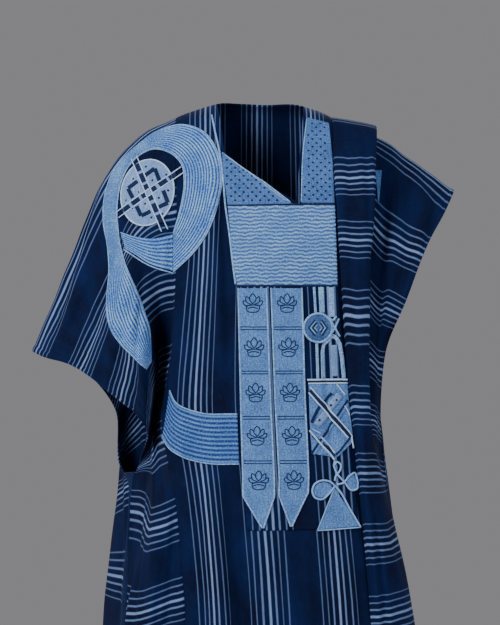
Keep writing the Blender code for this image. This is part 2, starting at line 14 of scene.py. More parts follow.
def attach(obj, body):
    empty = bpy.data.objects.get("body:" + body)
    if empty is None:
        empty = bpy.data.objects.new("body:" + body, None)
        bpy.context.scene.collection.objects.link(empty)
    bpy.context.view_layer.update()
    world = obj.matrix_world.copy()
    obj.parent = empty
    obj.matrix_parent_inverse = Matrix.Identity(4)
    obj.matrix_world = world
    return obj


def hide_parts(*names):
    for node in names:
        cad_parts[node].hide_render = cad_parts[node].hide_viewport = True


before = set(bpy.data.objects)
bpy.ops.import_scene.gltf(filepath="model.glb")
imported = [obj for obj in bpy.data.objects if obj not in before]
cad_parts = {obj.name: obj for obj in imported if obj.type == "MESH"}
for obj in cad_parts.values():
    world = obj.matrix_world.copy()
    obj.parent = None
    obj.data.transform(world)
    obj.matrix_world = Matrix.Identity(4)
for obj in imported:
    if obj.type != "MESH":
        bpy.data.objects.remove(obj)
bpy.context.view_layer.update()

# %% [markdown]
# ## Camera, light and floor
# Clothes are usually shown from chest height with a long lens, so nothing looks bigger for being
# nearer. Soft lamps stand to either side in front, and a third behind. The smaller and brighter one,
# on the wearer's right, picks out the folds.

# %% Camera, light and floor
VIEW_HEIGHT = -0.423
VIEW_SIDE = -0.020
VIEW_DISTANCE = 3.0
VIEW_TALL = 1.281         # how much height is seen at the robe
VIEW_ANGLE = 2 * math.atan(VIEW_TALL / 2 / VIEW_DISTANCE)

camera_data = bpy.data.cameras.new("camera")
camera_data.sensor_fit = "VERTICAL"
camera_data.angle = VIEW_ANGLE
camera = bpy.data.objects.new("camera", camera_data)
camera.location = (VIEW_SIDE, -VIEW_DISTANCE, VIEW_HEIGHT)
camera.rotation_euler = (math.pi / 2, 0, 0)
bpy.context.scene.collection.objects.link(camera)
bpy.context.scene.camera = camera
print("the camera sees", round(math.degrees(VIEW_ANGLE), 1), "degrees from", VIEW_DISTANCE, "m")


def add_lamp(name, place, size, power, tint):
    """A square soft lamp, aimed at the robe a little above its waist."""
    data = bpy.data.lights.new(name, "AREA")
    data.shape, data.size, data.energy, data.color = "SQUARE", size, power, tint
    lamp = bpy.data.objects.new(name, data)
    lamp.location = place
    lamp.rotation_euler = (Vector((0, 0, -0.5)) - Vector(place)).to_track_quat("-Z", "Y").to_euler()
    bpy.context.scene.collection.objects.link(lamp)


add_lamp("window_light", (-2.4, -2.6, 1.2), 1.6, 135, (1.0, 0.985, 0.96))
add_lamp("fill_light", (2.6, -2.4, 0.4), 2.2, 48, (0.93, 0.96, 1.0))
add_lamp("back_light", (0.6, 2.6, 1.4), 2.0, 45, (1.0, 1.0, 1.0))

room = bpy.data.worlds.new("room")
room.use_nodes = True
room_glow = room.node_tree.nodes["Background"]
room_glow.inputs["Color"].default_value = (0.232, 0.230, 0.240, 1)
room_glow.inputs["Strength"].default_value = 1.0
bpy.context.scene.world = room

FLOOR_HEIGHT = -1.50
FLOOR_REACH = 1.9
floor_mesh = bpy.data.meshes.new("floor")
floor_mesh.from_pydata([(x * FLOOR_REACH, y * FLOOR_REACH, FLOOR_HEIGHT)
                        for x, y in ((-1, -1), (1, -1), (1, 1), (-1, 1))], [], [(0, 1, 2, 3)])
floor_finish = bpy.data.materials.new("pale_floor")
floor_finish.use_nodes = True
floor_shader = floor_finish.node_tree.nodes["Principled BSDF"]
floor_shader.inputs["Base Color"].default_value = (0.62, 0.61, 0.60, 1)
floor_shader.inputs["Roughness"].default_value = 0.9
floor_mesh.materials.append(floor_finish)
floor = bpy.data.objects.new("floor", floor_mesh)
bpy.context.scene.collection.objects.link(floor)

# %% [markdown]
# ## The shape of the cut cloth
# A tailor thinks of a robe as flat cloth: how far across from the middle, and how far down from the
# shoulder fold. Each row below is one line across a side panel with the place where each of its
# points hangs. A smooth curve through the rows gives the hanging shape at any point of the cloth.
# Both distances are only counts that place the rows. A tape along the cloth reads about 1.40 m where
# the count down is 1.31. Across a side panel the count is 0.56 everywhere, but the cloth there is
# 0.59 m wide at the right sleeve, 0.40 at the left and less at the hems.

# %% Sizes of the cut
HALF_PANEL = 0.19         # the count across at the seams of the middle panels
CUFF = 0.75               # the count across at the sleeve's hem
LENGTH = 1.31             # the count down at the hem; a tape along the cloth reads about 1.40
NECK_SCOOP = 0.040        # depth of the back neckline
NECK_V = 0.192            # depth of the front neck opening
CLOTH = 0.0015            # thickness of the woven strips
print("the hem is", LENGTH, "down and the cuff", CUFF, "across")

# %% Where the right side panel hangs
RIGHT_ACROSS = (0.19, 0.26, 0.34, 0.44, 0.59, 0.75)
RIGHT_SECTIONS = (
    # down, seam, inner fold, ridge, over the arm, middle, sleeve edge
    (-1.310, (-0.164, 0.150, -1.372), (-0.216, 0.165, -1.376), (-0.270, 0.165, -1.378),
             (-0.318, 0.150, -1.378), (-0.344, 0.100, -1.376), (-0.302, 0.014, -1.372)),
    (-0.885, (-0.174, 0.140, -0.976), (-0.218, 0.150, -0.982), (-0.262, 0.160, -0.988),
             (-0.300, 0.150, -0.990), (-0.324, 0.110, -0.990), (-0.270, 0.004, -0.982)),
    (-0.735, (-0.180, 0.130, -0.810), (-0.216, 0.130, -0.816), (-0.254, 0.150, -0.826),
             (-0.286, 0.150, -0.830), (-0.304, 0.110, -0.822), (-0.266, 0.046, -0.792)),
    (-0.585, (-0.186, 0.125, -0.642), (-0.218, 0.120, -0.652), (-0.250, 0.140, -0.670),
             (-0.276, 0.150, -0.694), (-0.296, 0.140, -0.718), (-0.298, 0.100, -0.736)),
    (-0.435, (-0.182, 0.125, -0.472), (-0.220, 0.120, -0.486), (-0.256, 0.130, -0.508),
             (-0.278, 0.140, -0.542), (-0.294, 0.140, -0.590), (-0.306, 0.120, -0.636)),
    (-0.285, (-0.178, 0.120, -0.300), (-0.226, 0.120, -0.316), (-0.272, 0.120, -0.350),
             (-0.302, 0.120, -0.396), (-0.332, 0.120, -0.478), (-0.358, 0.100, -0.558)),
    (-0.135, (-0.176, 0.095, -0.126), (-0.230, 0.090, -0.152), (-0.280, 0.085, -0.202),
             (-0.318, 0.080, -0.284), (-0.368, 0.070, -0.406), (-0.426, 0.060, -0.518)),
    (-0.050, (-0.174, 0.050, -0.040), (-0.228, 0.048, -0.070), (-0.280, 0.045, -0.120),
             (-0.324, 0.040, -0.206), (-0.382, 0.034, -0.356), (-0.448, 0.032, -0.510)),
    (0.000, (-0.172, 0.000, -0.024), (-0.228, 0.000, -0.050), (-0.282, 0.000, -0.096),
            (-0.330, 0.000, -0.172), (-0.394, 0.000, -0.330), (-0.466, 0.000, -0.502)),
    (0.050, (-0.170, -0.052, -0.044), (-0.222, -0.052, -0.074), (-0.274, -0.048, -0.126),
            (-0.318, -0.042, -0.212), (-0.376, -0.038, -0.356), (-0.440, -0.038, -0.512)),
    (0.135, (-0.166, -0.100, -0.174), (-0.212, -0.100, -0.192), (-0.258, -0.095, -0.236),
            (-0.292, -0.085, -0.314), (-0.336, -0.080, -0.418), (-0.382, -0.080, -0.526)),
    (0.285, (-0.166, -0.125, -0.330), (-0.206, -0.120, -0.340), (-0.242, -0.130, -0.372),
            (-0.262, -0.140, -0.430), (-0.276, -0.130, -0.500), (-0.300, -0.110, -0.580)),
    (0.435, (-0.180, -0.120, -0.484), (-0.202, -0.040, -0.500), (-0.214, -0.120, -0.532),
            (-0.218, -0.145, -0.578), (-0.222, -0.140, -0.618), (-0.224, -0.120, -0.652)),
    (0.585, (-0.194, -0.120, -0.636), (-0.210, -0.030, -0.650), (-0.216, -0.050, -0.672),
            (-0.224, 0.000, -0.698), (-0.236, 0.030, -0.718), (-0.250, 0.050, -0.734)),
    (0.735, (-0.168, -0.130, -0.788), (-0.188, -0.125, -0.798), (-0.214, -0.100, -0.810),
            (-0.224, -0.050, -0.800), (-0.240, 0.000, -0.790), (-0.266, 0.041, -0.792)),
    (0.885, (-0.152, -0.140, -0.940), (-0.188, -0.140, -0.952), (-0.226, -0.130, -0.968),
            (-0.256, -0.090, -0.976), (-0.258, -0.040, -0.980), (-0.270, -0.001, -0.982)),
    (1.310, (-0.138, -0.155, -1.370), (-0.186, -0.150, -1.372), (-0.234, -0.140, -1.374),
            (-0.290, -0.090, -1.376), (-0.288, -0.030, -1.374), (-0.302, 0.009, -1.372)),
)
print("rows of the right side panel:", len(RIGHT_SECTIONS))

# %% Where the left side panel hangs
LEFT_ACROSS = (0.19, 0.215, 0.255, 0.30, 0.37, 0.45, 0.60, 0.75)
LEFT_SECTIONS = (
    # down, seam, lip, turned-back flap, its folded edge, tuck behind it, mouth of the tuck,
    # middle, sleeve edge
    (-1.310, (0.242, 0.150, -1.372), (0.256, 0.165, -1.374), (0.290, 0.170, -1.376),
             (0.322, 0.160, -1.376), (0.340, 0.135, -1.374), (0.342, 0.100, -1.372),
             (0.330, 0.070, -1.372), (0.320, 0.044, -1.372)),
    (-0.920, (0.216, 0.140, -1.018), (0.228, 0.150, -1.020), (0.256, 0.160, -1.022),
             (0.284, 0.155, -1.020), (0.302, 0.135, -1.014), (0.304, 0.100, -1.004),
             (0.292, 0.070, -0.996), (0.284, 0.044, -0.990)),
    (-0.650, (0.186, 0.130, -0.664), (0.194, 0.135, -0.666), (0.216, 0.145, -0.672),
             (0.240, 0.150, -0.676), (0.254, 0.140, -0.684), (0.260, 0.115, -0.694),
             (0.262, 0.080, -0.712), (0.258, 0.045, -0.734)),
    (-0.450, (0.172, 0.125, -0.428), (0.182, 0.130, -0.430), (0.208, 0.135, -0.434),
             (0.232, 0.130, -0.440), (0.206, 0.110, -0.452), (0.234, 0.100, -0.478),
             (0.246, 0.100, -0.502), (0.256, 0.085, -0.528)),
    (-0.300, (0.164, 0.120, -0.258), (0.172, 0.125, -0.260), (0.202, 0.125, -0.264),
             (0.236, 0.120, -0.272), (0.196, 0.105, -0.290), (0.238, 0.095, -0.328),
             (0.268, 0.100, -0.362), (0.300, 0.095, -0.402)),
    (-0.150, (0.156, 0.090, -0.100), (0.164, 0.092, -0.102), (0.202, 0.090, -0.110),
             (0.242, 0.085, -0.118), (0.194, 0.075, -0.130), (0.244, 0.065, -0.166),
             (0.298, 0.065, -0.204), (0.352, 0.060, -0.254)),
    (-0.055, (0.148, 0.050, -0.038), (0.156, 0.050, -0.038), (0.192, 0.050, -0.044),
             (0.238, 0.048, -0.056), (0.190, 0.042, -0.066), (0.242, 0.036, -0.090),
             (0.314, 0.036, -0.136), (0.384, 0.034, -0.196)),
    (0.000, (0.146, 0.000, -0.024), (0.154, 0.000, -0.024), (0.190, 0.000, -0.030),
            (0.236, 0.000, -0.040), (0.190, 0.000, -0.050), (0.240, 0.000, -0.064),
            (0.318, 0.000, -0.116), (0.398, 0.000, -0.174)),
    (0.045, (0.146, -0.050, -0.040), (0.153, -0.052, -0.038), (0.189, -0.054, -0.044),
            (0.235, -0.052, -0.054), (0.186, -0.042, -0.070), (0.238, -0.036, -0.104),
            (0.306, -0.038, -0.156), (0.374, -0.040, -0.220)),
    (0.100, (0.146, -0.085, -0.116), (0.150, -0.090, -0.112), (0.186, -0.095, -0.114),
            (0.230, -0.090, -0.116), (0.180, -0.075, -0.138), (0.234, -0.065, -0.196),
            (0.284, -0.075, -0.236), (0.342, -0.080, -0.272)),
    (0.240, (0.152, -0.120, -0.248), (0.154, -0.130, -0.244), (0.188, -0.135, -0.246),
            (0.220, -0.125, -0.248), (0.172, -0.105, -0.290), (0.224, -0.095, -0.366),
            (0.258, -0.100, -0.380), (0.290, -0.100, -0.398)),
    (0.376, (0.160, -0.120, -0.382), (0.162, -0.130, -0.376), (0.188, -0.140, -0.380),
            (0.216, -0.130, -0.380), (0.178, -0.110, -0.434), (0.222, -0.100, -0.484),
            (0.236, -0.085, -0.498), (0.252, -0.070, -0.502)),
    (0.513, (0.172, -0.120, -0.572), (0.178, -0.130, -0.566), (0.194, -0.140, -0.566),
            (0.214, -0.135, -0.568), (0.198, -0.100, -0.596), (0.224, -0.090, -0.606),
            (0.236, -0.060, -0.618), (0.244, -0.030, -0.632)),
    (0.650, (0.186, -0.125, -0.702), (0.192, -0.135, -0.698), (0.206, -0.140, -0.698),
            (0.224, -0.120, -0.700), (0.234, -0.080, -0.710), (0.238, -0.050, -0.716),
            (0.246, 0.000, -0.726), (0.258, 0.039, -0.734)),
    (0.787, (0.200, -0.130, -0.840), (0.206, -0.140, -0.836), (0.226, -0.140, -0.836),
            (0.246, -0.120, -0.838), (0.260, -0.090, -0.836), (0.268, -0.050, -0.838),
            (0.266, 0.000, -0.840), (0.268, 0.039, -0.844)),
    (0.924, (0.212, -0.140, -0.978), (0.220, -0.145, -0.976), (0.246, -0.145, -0.974),
            (0.270, -0.125, -0.972), (0.292, -0.090, -0.972), (0.300, -0.050, -0.976),
            (0.292, 0.000, -0.984), (0.284, 0.039, -0.990)),
    (1.310, (0.238, -0.155, -1.370), (0.248, -0.160, -1.372), (0.276, -0.155, -1.372),
            (0.308, -0.130, -1.374), (0.332, -0.090, -1.376), (0.340, -0.040, -1.374),
            (0.330, 0.005, -1.372), (0.320, 0.039, -1.372)),
)
print("rows of the left side panel:", len(LEFT_SECTIONS))

# %% Where the middle hangs, its long folds and its neckline
MIDDLE_SECTIONS = (
    # down, the middle of the panel
    (-1.310, (0.000, 0.175, -1.376)),
    (-0.885, (0.000, 0.165, -0.960)),
    (-0.435, (-0.004, 0.150, -0.440)),
    (-0.285, (-0.004, 0.140, -0.275)),
    (-0.135, (-0.004, 0.105, -0.095)),
    (-0.050, (-0.004, 0.055, 0.004)),
    (0.000, (-0.004, 0.000, 0.014)),
    (0.050, (-0.004, -0.052, -0.026)),
    (0.135, (-0.004, -0.100, -0.144)),
    (0.285, (-0.008, -0.135, -0.300)),
    (0.435, (-0.008, -0.145, -0.458)),
    (0.585, (-0.004, -0.150, -0.612)),
    (0.735, (0.006, -0.155, -0.768)),
    (0.885, (0.018, -0.160, -0.914)),
    (1.310, (0.042, -0.175, -1.372)),
)
PANEL_FOLDS = (
    # across, begins at this distance down, width, how far it stands out at the hem (troughs < 0);
    # folds that begin at a negative distance are on the back
    (-0.125, 0.70, 0.045, 0.010),
    (-0.070, 0.20, 0.040, -0.008),
    (-0.005, 0.60, 0.045, 0.010),
    (0.065, 0.75, 0.040, -0.009),
    (0.125, 0.85, 0.040, 0.009),
    (-0.120, -0.20, 0.050, 0.016),
    (-0.055, -0.45, 0.045, -0.014),
    (0.015, -0.15, 0.055, 0.018),
    (0.080, -0.35, 0.045, -0.015),
    (0.135, -0.25, 0.040, 0.012),
)
NECKLINE = (
    # down, wearer's right edge, wearer's left edge, both measured across from the middle
    (0.000, -0.099, 0.119),
    (0.105, -0.080, 0.104),
    (NECK_V, 0.092, 0.092),
)
print("long folds in the middle panels:", len(PANEL_FOLDS))

# %% Smooth curves through the rows
def curve_weights(knots, places):
    """Rows of weights: a smooth curve through values at the knots, read at the places."""
    knots = np.asarray(knots, float)
    count = len(knots)
    steps = np.diff(knots)
    slopes = np.zeros((count, count))
    slopes[0, :2] = (-1 / steps[0], 1 / steps[0])
    slopes[-1, -2:] = (-1 / steps[-1], 1 / steps[-1])
    for i in range(1, count - 1):
        before, after = steps[i - 1], steps[i]
        slopes[i, i - 1] = -after / (before * (before + after))
        slopes[i, i + 1] = before / (after * (before + after))
        slopes[i, i] = -slopes[i, i - 1] - slopes[i, i + 1]
    places = np.asarray(places, float)
    k = np.clip(np.searchsorted(knots, places) - 1, 0, count - 2)
    step = steps[k]
    u = (places - knots[k]) / step
    rows = np.arange(len(places))
    weights = np.zeros((len(places), count))
    weights[rows, k] += 2 * u**3 - 3 * u**2 + 1
    weights[rows, k + 1] += 3 * u**2 - 2 * u**3
    weights += (step * (u**3 - 2 * u**2 + u))[:, None] * slopes[k]
    weights += (step * (u**3 - u**2))[:, None] * slopes[k + 1]
    return weights


def unit(vectors):
    return vectors / np.maximum(np.linalg.norm(vectors, axis=-1, keepdims=True), 1e-12)


def side_panel(sections, knots_across, across, down):
    """Where points of a side panel hang; across and down are arrays of one shape."""
    table = np.array([row[1:] for row in sections], float)
    by_row = np.einsum("nd,dkx->nkx", curve_weights([row[0] for row in sections], down.ravel()), table)
    points = np.einsum("nk,nkx->nx", curve_weights(knots_across, across.ravel()), by_row)
    return points.reshape(down.shape + (3,))


def panel_fold_depth(across, down):
    """How far the long folds of the middle panel move its points along Y."""
    moved = np.zeros_like(down)
    for place, begins, width, stands in PANEL_FOLDS:
        face = 1.0 if begins > 0 else -1.0
        grows = np.clip((face * down - abs(begins)) / (LENGTH - abs(begins)), 0, 1)
        shape = np.cos(np.clip((across - place) / width, -1, 1) * np.pi / 2) ** 2
        moved -= face * stands * shape * np.sqrt(grows) * grows**0.25
    return moved


def middle_panel(across, down):
    """Where points of the middle panels hang, between the two seams."""
    flat_down = down.ravel()
    seam = np.full_like(flat_down, HALF_PANEL)
    right = side_panel(RIGHT_SECTIONS, RIGHT_ACROSS, seam, flat_down)
    left = side_panel(LEFT_SECTIONS, LEFT_ACROSS, seam, flat_down)
    weights = curve_weights([row[0] for row in MIDDLE_SECTIONS], flat_down)
    middle = weights @ np.array([row[1] for row in MIDDLE_SECTIONS], float)
    u = (across.ravel() / HALF_PANEL)[:, None]
    points = middle * (1 - u**2) + right * (u**2 - u) / 2 + left * (u**2 + u) / 2
    points[:, 1] += panel_fold_depth(across.ravel(), flat_down)
    return points.reshape(down.shape + (3,))


def hang(across, down):
    """Any point of the cloth; across runs from -CUFF, the right cuff, to CUFF, the left one."""
    points = np.empty(across.shape + (3,))
    right, left = across < -HALF_PANEL, across > HALF_PANEL
    middle = ~(right | left)
    if right.any():
        points[right] = side_panel(RIGHT_SECTIONS, RIGHT_ACROSS, -across[right], down[right])
    if left.any():
        points[left] = side_panel(LEFT_SECTIONS, LEFT_ACROSS, across[left], down[left])
    if middle.any():
        points[middle] = middle_panel(across[middle], down[middle])
    return points


print("left cuff at the shoulder fold:", hang(np.array([CUFF]), np.array([0.0])).round(3))

# %% [markdown]
# ## Creases
# Stiff strip-woven cotton breaks into a few long, soft folds: from the shoulders, where it hangs,
# and at the arms, where it gathers. Cloth simulation would fold it anywhere, so these are given one
# by one, each a line seen from the front or the back, with a width and a height (troughs are below
# zero). A second, weaker pattern of slow waves keeps the cloth between them from looking ironed.

# %% Lines of the creases
FRONT_CREASES = (
    # height, half width, the line (x, z)
    (-0.0060, 0.016, ((-0.170, -0.215), (-0.176, -0.330), (-0.184, -0.470), (-0.196, -0.600))),
    (0.0050, 0.018, ((-0.140, -0.300), (-0.146, -0.420), (-0.150, -0.560), (-0.146, -0.700))),
    (0.0038, 0.014, ((-0.096, -0.090), (-0.092, -0.230), (-0.084, -0.380), (-0.078, -0.560))),
    (-0.0034, 0.012, ((-0.078, -0.120), (-0.072, -0.260), (-0.062, -0.420), (-0.060, -0.600))),
    (0.0034, 0.013, ((-0.112, -0.340), (-0.104, -0.470), (-0.098, -0.600))),
    (-0.0040, 0.016, ((-0.126, -0.700), (-0.116, -0.880), (-0.108, -1.060), (-0.110, -1.330))),
    (0.0058, 0.019, ((-0.090, -0.720), (-0.080, -0.900), (-0.066, -1.100), (-0.060, -1.360))),
    (-0.0044, 0.015, ((-0.058, -0.735), (-0.046, -0.920), (-0.030, -1.100), (-0.022, -1.350))),
    (0.0048, 0.017, ((-0.010, -0.850), (0.002, -1.000), (0.018, -1.180), (0.026, -1.360))),
    (-0.0044, 0.015, ((0.040, -0.850), (0.048, -0.960), (0.060, -1.120), (0.070, -1.350))),
    (0.0046, 0.016, ((0.086, -0.860), (0.096, -1.000), (0.104, -1.160), (0.116, -1.360))),
    (-0.0042, 0.014, ((0.128, -0.850), (0.140, -0.980), (0.150, -1.150), (0.156, -1.350))),
    (0.0042, 0.014, ((0.168, -0.850), (0.182, -1.000), (0.196, -1.180), (0.208, -1.360))),
    (-0.0046, 0.013, ((0.214, -0.760), (0.232, -0.900), (0.248, -1.080), (0.262, -1.350))),
    (0.0040, 0.013, ((0.196, -0.640), (0.206, -0.760), (0.222, -0.900), (0.238, -1.100))),
    (-0.0050, 0.018, ((-0.160, -0.760), (-0.170, -0.900), (-0.182, -1.080), (-0.190, -1.340))),
    (0.0060, 0.020, ((-0.200, -0.800), (-0.208, -0.940), (-0.224, -1.120), (-0.236, -1.360))),
    (-0.0046, 0.014, ((-0.236, -0.800), (-0.248, -0.960), (-0.262, -1.140), (-0.276, -1.340))),
    (0.0050, 0.020, ((-0.286, -0.080), (-0.320, -0.180), (-0.352, -0.300), (-0.386, -0.440))),
    (-0.0052, 0.018, ((-0.318, -0.120), (-0.352, -0.230), (-0.386, -0.340), (-0.420, -0.460))),
    (-0.0048, 0.017, ((-0.280, -0.260), (-0.302, -0.360), (-0.330, -0.450), (-0.352, -0.530))),
    (0.0050, 0.017, ((-0.250, -0.300), (-0.268, -0.400), (-0.286, -0.490), (-0.304, -0.580))),
    (-0.0046, 0.014, ((-0.226, -0.320), (-0.236, -0.430), (-0.246, -0.540), (-0.252, -0.640))),
    (0.0034, 0.012, ((-0.334, -0.330), (-0.376, -0.420), (-0.410, -0.500))),
    (0.0020, 0.012, ((0.196, -0.050), (0.200, -0.160), (0.206, -0.270), (0.208, -0.400))),
    (-0.0020, 0.010, ((0.172, -0.060), (0.176, -0.180), (0.178, -0.330), (0.190, -0.520))),
    (0.0026, 0.009, ((0.220, -0.060), (0.222, -0.180), (0.216, -0.300))),
    (0.0024, 0.018, ((0.250, -0.110), (0.262, -0.200), (0.258, -0.310), (0.246, -0.420))),
    (-0.0024, 0.016, ((0.286, -0.130), (0.296, -0.210), (0.288, -0.310), (0.266, -0.420))),
    (0.0022, 0.016, ((0.320, -0.150), (0.328, -0.210), (0.314, -0.300), (0.284, -0.400))),
    (-0.0018, 0.014, ((0.350, -0.175), (0.352, -0.220), (0.334, -0.280))),
    (-0.0030, 0.012, ((0.120, -0.400), (0.126, -0.520), (0.136, -0.660), (0.150, -0.800))),
)
BACK_CREASES = (
    (0.0070, 0.022, ((-0.120, -0.060), (-0.128, -0.300), (-0.132, -0.620), (-0.126, -1.000),
                     (-0.120, -1.360))),
    (-0.0064, 0.020, ((-0.078, -0.040), (-0.082, -0.280), (-0.080, -0.640), (-0.070, -1.040),
                     (-0.060, -1.360))),
    (0.0060, 0.020, ((-0.030, -0.240), (-0.030, -0.520), (-0.022, -0.900), (-0.010, -1.360))),
    (-0.0062, 0.020, ((0.022, -0.060), (0.020, -0.340), (0.030, -0.760), (0.044, -1.360))),
    (0.0066, 0.022, ((0.076, -0.120), (0.080, -0.420), (0.090, -0.860), (0.100, -1.360))),
    (-0.0056, 0.018, ((0.122, -0.050), (0.132, -0.360), (0.148, -0.820), (0.160, -1.360))),
    (0.0060, 0.020, ((-0.190, -0.060), (-0.196, -0.260), (-0.206, -0.560), (-0.196, -0.960),
                     (-0.190, -1.360))),
    (-0.0070, 0.020, ((-0.226, -0.090), (-0.240, -0.300), (-0.244, -0.560), (-0.238, -0.980),
                     (-0.240, -1.360))),
    (0.0060, 0.020, ((-0.280, -0.140), (-0.304, -0.280), (-0.322, -0.430), (-0.316, -0.560))),
    (-0.0056, 0.018, ((-0.330, -0.200), (-0.360, -0.320), (-0.380, -0.440), (-0.372, -0.530))),
    (0.0048, 0.016, ((-0.380, -0.300), (-0.404, -0.400), (-0.420, -0.490))),
    (0.0060, 0.018, ((-0.276, -0.700), (-0.270, -0.880), (-0.276, -1.100), (-0.290, -1.360))),
    (0.0056, 0.018, ((0.180, -0.060), (0.190, -0.300), (0.206, -0.600), (0.226, -1.000),
                     (0.250, -1.360))),
    (-0.0060, 0.018, ((0.216, -0.080), (0.222, -0.300), (0.238, -0.640), (0.262, -1.020),
                     (0.290, -1.360))),
    (0.0056, 0.018, ((0.262, -0.110), (0.270, -0.220), (0.262, -0.360), (0.250, -0.480))),
    (-0.0050, 0.016, ((0.304, -0.150), (0.308, -0.230), (0.292, -0.350), (0.270, -0.470))),
    (0.0044, 0.015, ((0.346, -0.180), (0.344, -0.240), (0.320, -0.330))),
)
CREASE_DEPTH = 1.6        # makes all the creases deeper or shallower together
CREASE_STEPS = 28         # places read along each line
WAVE_HEIGHT = 0.0007
print("creases in front and behind:", len(FRONT_CREASES), len(BACK_CREASES))


def crease_height(points, lines):
    """How far a set of crease lines moves points that face them, looked at along Y."""
    moved = np.zeros(len(points))
    seen = points[:, [0, 2]]
    every = np.arange(len(seen))
    for height, half_width, line in lines:
        line = np.array(line)
        path = curve_weights(range(len(line)), np.linspace(0, len(line) - 1, CREASE_STEPS)) @ line
        step = np.diff(path, axis=0)
        away = seen[:, None] - path[:-1]
        share = np.clip((away * step).sum(axis=2) / (step**2).sum(axis=1), 0, 1)
        gap = np.linalg.norm(away - share[..., None] * step, axis=2)
        nearest = gap.argmin(axis=1)
        along = (nearest + share[every, nearest]) / len(step)
        fades = np.clip(4.0 * np.minimum(along, 1 - along) + 0.25 * (along > 0.9), 0, 1) ** 0.8
        bump = np.cos(np.clip(gap[every, nearest] / half_width, 0, 1) * np.pi / 2) ** 2
        moved += CREASE_DEPTH * height * bump * fades
    return moved


def slow_waves(across, down):
    """Faint waves a hand wide or more, so that no stretch of cloth is perfectly flat."""
    waves = 0.9 * np.sin(41 * across + 6 * down + 0.7) * np.sin(13 * down + 1.1)
    waves += 0.6 * np.sin(73 * across - 19 * down + 2.0) + 0.45 * np.sin(9 * across + 47 * down)
    return WAVE_HEIGHT * waves

# %% [markdown]
# ## Finishes
# Three kinds of cloth make this robe: indigo cloth woven in strips with fine pale stripes, light
# blue cotton, and machine embroidery whose threads lie in close ribs. Image textures would need
# files, so each finish is built from Blender's own nodes, on coordinates that follow the cloth.

# %% A few words for shader nodes
class Finish:
    """A cloth material under construction; its methods add nodes, and most return an output."""

    def __init__(self, name, roughness, sheen, sheen_tint):
        self.material = bpy.data.materials.new(name)
        self.material.use_nodes = True
        self.nodes = self.material.node_tree.nodes
        self.links = self.material.node_tree.links
        self.shader = self.nodes["Principled BSDF"]
        self.shader.inputs["Roughness"].default_value = roughness
        self.shader.inputs["Sheen Weight"].default_value = sheen
        self.shader.inputs["Sheen Roughness"].default_value = 0.45
        self.shader.inputs["Sheen Tint"].default_value = sheen_tint + (1.0,)
        self.shader.inputs["Specular IOR Level"].default_value = 0.10

    def feed(self, socket, value):
        if isinstance(value, bpy.types.NodeSocket):
            self.links.new(value, socket)
        else:
            socket.default_value = value

    def uv(self, map_name):
        node = self.nodes.new("ShaderNodeUVMap")
        node.uv_map = map_name
        parts = self.nodes.new("ShaderNodeSeparateXYZ")
        self.links.new(node.outputs["UV"], parts.inputs[0])
        return parts.outputs["X"], parts.outputs["Y"]

    def maths(self, operation, first, second=0.0):
        node = self.nodes.new("ShaderNodeMath")
        node.operation = operation
        self.feed(node.inputs[0], first)
        self.feed(node.inputs[1], second)
        return node.outputs[0]

    def plus(self, first, second):
        return self.maths("ADD", first, second)

    def times(self, first, second):
        return self.maths("MULTIPLY", first, second)

    def noise(self, u, v, u_scale, v_scale, detail=2.0):
        """Smooth noise, with its own scale along each direction of the cloth."""
        joined = self.nodes.new("ShaderNodeCombineXYZ")
        self.links.new(self.times(u, u_scale), joined.inputs[0])
        self.links.new(self.times(v, v_scale), joined.inputs[1])
        node = self.nodes.new("ShaderNodeTexNoise")
        node.inputs["Scale"].default_value = 1.0
        node.inputs["Detail"].default_value = detail
        self.links.new(joined.outputs[0], node.inputs["Vector"])
        return node.outputs["Fac"]

    def stretch(self, value, low, high, to_low=0.0, to_high=1.0):
        node = self.nodes.new("ShaderNodeMapRange")
        self.feed(node.inputs[0], value)
        for socket, number in zip(node.inputs[1:5], (low, high, to_low, to_high)):
            socket.default_value = number
        return node.outputs[0]

    def ramp(self, value, stops):
        node = self.nodes.new("ShaderNodeValToRGB")
        self.links.new(value, node.inputs[0])
        band = node.color_ramp
        while len(band.elements) < len(stops):
            band.elements.new(1.0)
        for element, (place, level) in zip(band.elements, stops):
            element.position, element.color = place, (level, level, level, 1)
        return node.outputs["Color"]

    def mix(self, share, first, second):
        node = self.nodes.new("ShaderNodeMix")
        node.data_type = "RGBA"
        self.feed(node.inputs[0], share)
        for socket, value in ((node.inputs[6], first), (node.inputs[7], second)):
            self.feed(socket, value if isinstance(value, bpy.types.NodeSocket) else value + (1.0,))
        return node.outputs[2]

    def wave(self, value, length):
        """A smooth wave from -1 to 1 that repeats every `length`."""
        return self.maths("SINE", self.times(value, 2 * math.pi / length))

    def colour(self, value):
        self.feed(self.shader.inputs["Base Color"], value)

    def weave(self, across, down, step):
        """The crossing threads of plain cloth, `step` apart."""
        return self.times(self.wave(across, step), self.wave(down, step))

    def bump(self, height, strength, distance):
        node = self.nodes.new("ShaderNodeBump")
        node.inputs["Strength"].default_value = strength
        node.inputs["Distance"].default_value = distance
        self.links.new(height, node.inputs["Height"])
        self.links.new(node.outputs[0], self.shader.inputs["Normal"])


# %% [markdown]
# ### Striped indigo cloth
# The weaver lays pale warp threads in groups of seven lines, thin at both ends and wide near the
# middle, between plain bands of deep indigo. A colour ramp over one repeat holds the seven lines.
# A little noise bends them, since a hand loom never gives a ruled line, and stretched noise along
# them makes the slubs of the yarn.

